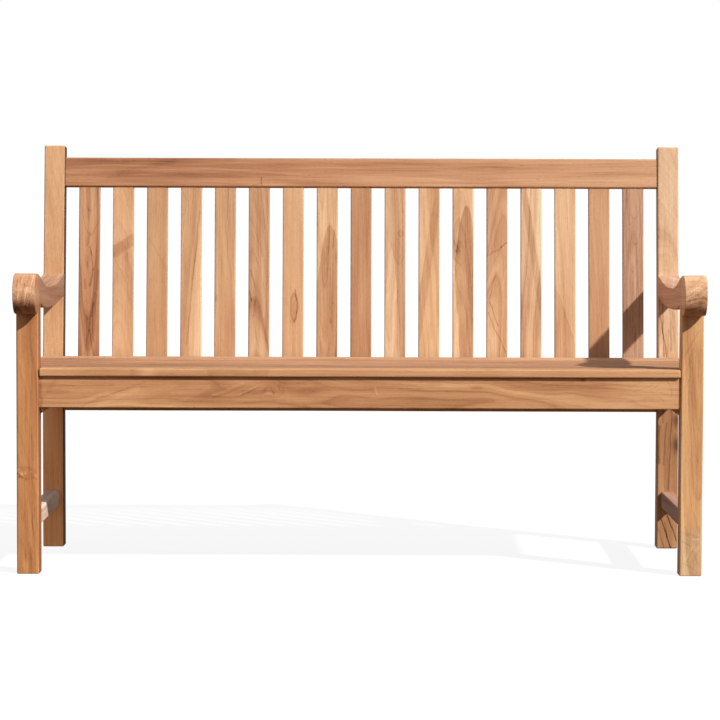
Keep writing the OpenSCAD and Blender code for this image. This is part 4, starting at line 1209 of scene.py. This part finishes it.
def stage():
    bm = bmesh.new()
    bmesh.ops.create_circle(bm, cap_ends=True, radius=40.0, segments=96)
    floor = as_object("floor", bm)
    mat = bpy.data.materials.new("pale_floor")
    g = Nodes(mat)
    out = g.node("ShaderNodeOutputMaterial")
    d = g.node("ShaderNodeBsdfDiffuse")
    d.inputs["Color"].default_value = (0.13, 0.13, 0.13, 1)
    e = g.node("ShaderNodeEmission")
    e.inputs["Color"].default_value = (1, 1, 1, 1)
    e.inputs["Strength"].default_value = 0.885
    a = g.node("ShaderNodeAddShader")
    g.t.links.new(d.outputs[0], a.inputs[0])
    g.t.links.new(e.outputs[0], a.inputs[1])
    g.t.links.new(a.outputs[0], out.inputs[0])
    floor.data.materials.append(mat)
    floor.visible_diffuse = False
    floor.visible_glossy = False

    bm = bmesh.new()
    bmesh.ops.create_uvsphere(bm, u_segments=48, v_segments=24, radius=39.0)
    dome = as_object("backdrop", bm)
    mat = bpy.data.materials.new("white_backdrop")
    g = Nodes(mat)
    out = g.node("ShaderNodeOutputMaterial")
    e = g.node("ShaderNodeEmission")
    e.inputs["Color"].default_value = (1, 1, 1, 1)
    e.inputs["Strength"].default_value = 1.0
    g.t.links.new(e.outputs[0], out.inputs[0])
    dome.data.materials.append(mat)
    for k in ("visible_diffuse", "visible_glossy", "visible_shadow", "visible_transmission", "visible_volume_scatter"):
        setattr(dome, k, False)

    world = bpy.data.worlds.new("studio")
    world.use_nodes = True
    t = world.node_tree
    t.nodes.clear()
    out = t.nodes.new("ShaderNodeOutputWorld")
    bg = t.nodes.new("ShaderNodeBackground")
    ramp = t.nodes.new("ShaderNodeValToRGB")
    sep = t.nodes.new("ShaderNodeSeparateXYZ")
    co = t.nodes.new("ShaderNodeTexCoord")
    mr = t.nodes.new("ShaderNodeMapRange")
    mr.inputs["From Min"].default_value = -1
    mr.inputs["From Max"].default_value = 1
    t.links.new(co.outputs["Generated"], sep.inputs[0])
    t.links.new(sep.outputs[2], mr.inputs["Value"])
    t.links.new(mr.outputs[0], ramp.inputs[0])
    e = ramp.color_ramp.elements
    e[0].position, e[0].color = 0.42, (0.190, 0.120, 0.070, 1)
    e[1].position, e[1].color = 0.56, (0.43, 0.445, 0.47, 1)
    t.links.new(ramp.outputs[0], bg.inputs["Color"])
    bg.inputs["Strength"].default_value = 1.0
    t.links.new(bg.outputs[0], out.inputs["Surface"])
    bpy.context.scene.world = world

    sun = bpy.data.lights.new("key", "SUN")
    sun.energy = 4.7
    sun.angle = math.radians(2.2)
    sun.color = (1.0, 0.985, 0.955)
    key = bpy.data.objects.new("key", sun)
    key.rotation_euler = Vector((-1.15, 1.0, -1.10)).to_track_quat("-Z", "Y").to_euler()
    bpy.context.scene.collection.objects.link(key)

    vs = bpy.context.scene.view_settings
    vs.view_transform = "Standard"
    vs.look = "None"
    vs.exposure = 0.0
    vs.gamma = 1.0


CAM = dict(f=2742.0, dist=5.970, height=0.8126, pitch=3.266, roll=0.17, yaw=0.235, x=0.025)


def camera():
    cam = bpy.data.cameras.new("camera")
    cam.sensor_width = 36.0
    cam.lens = CAM["f"] * 36.0 / 720.0
    cam.clip_end = 200.0
    ob = bpy.data.objects.new("camera", cam)
    bpy.context.scene.collection.objects.link(ob)
    look = Matrix.Rotation(math.radians(CAM["yaw"]), 4, "Z") @ Matrix.Rotation(math.radians(90 - CAM["pitch"]), 4, "X") @ Matrix.Rotation(math.radians(CAM["roll"]), 4, "Z")
    ob.matrix_world = Matrix.Translation(Vector((CAM["x"], Y0 - CAM["dist"], CAM["height"]))) @ look
    bpy.context.scene.camera = ob


camera()
stage()
for s in (-1, 1):
    front_leg(s)
    rear_leg(s)
    arm(s)
    side_rail(s)
    stretcher(s)
    bearer(s)
apron()
rear_rail()
top_rail()
back_slats()
seat_slats()
pegs()
screws()
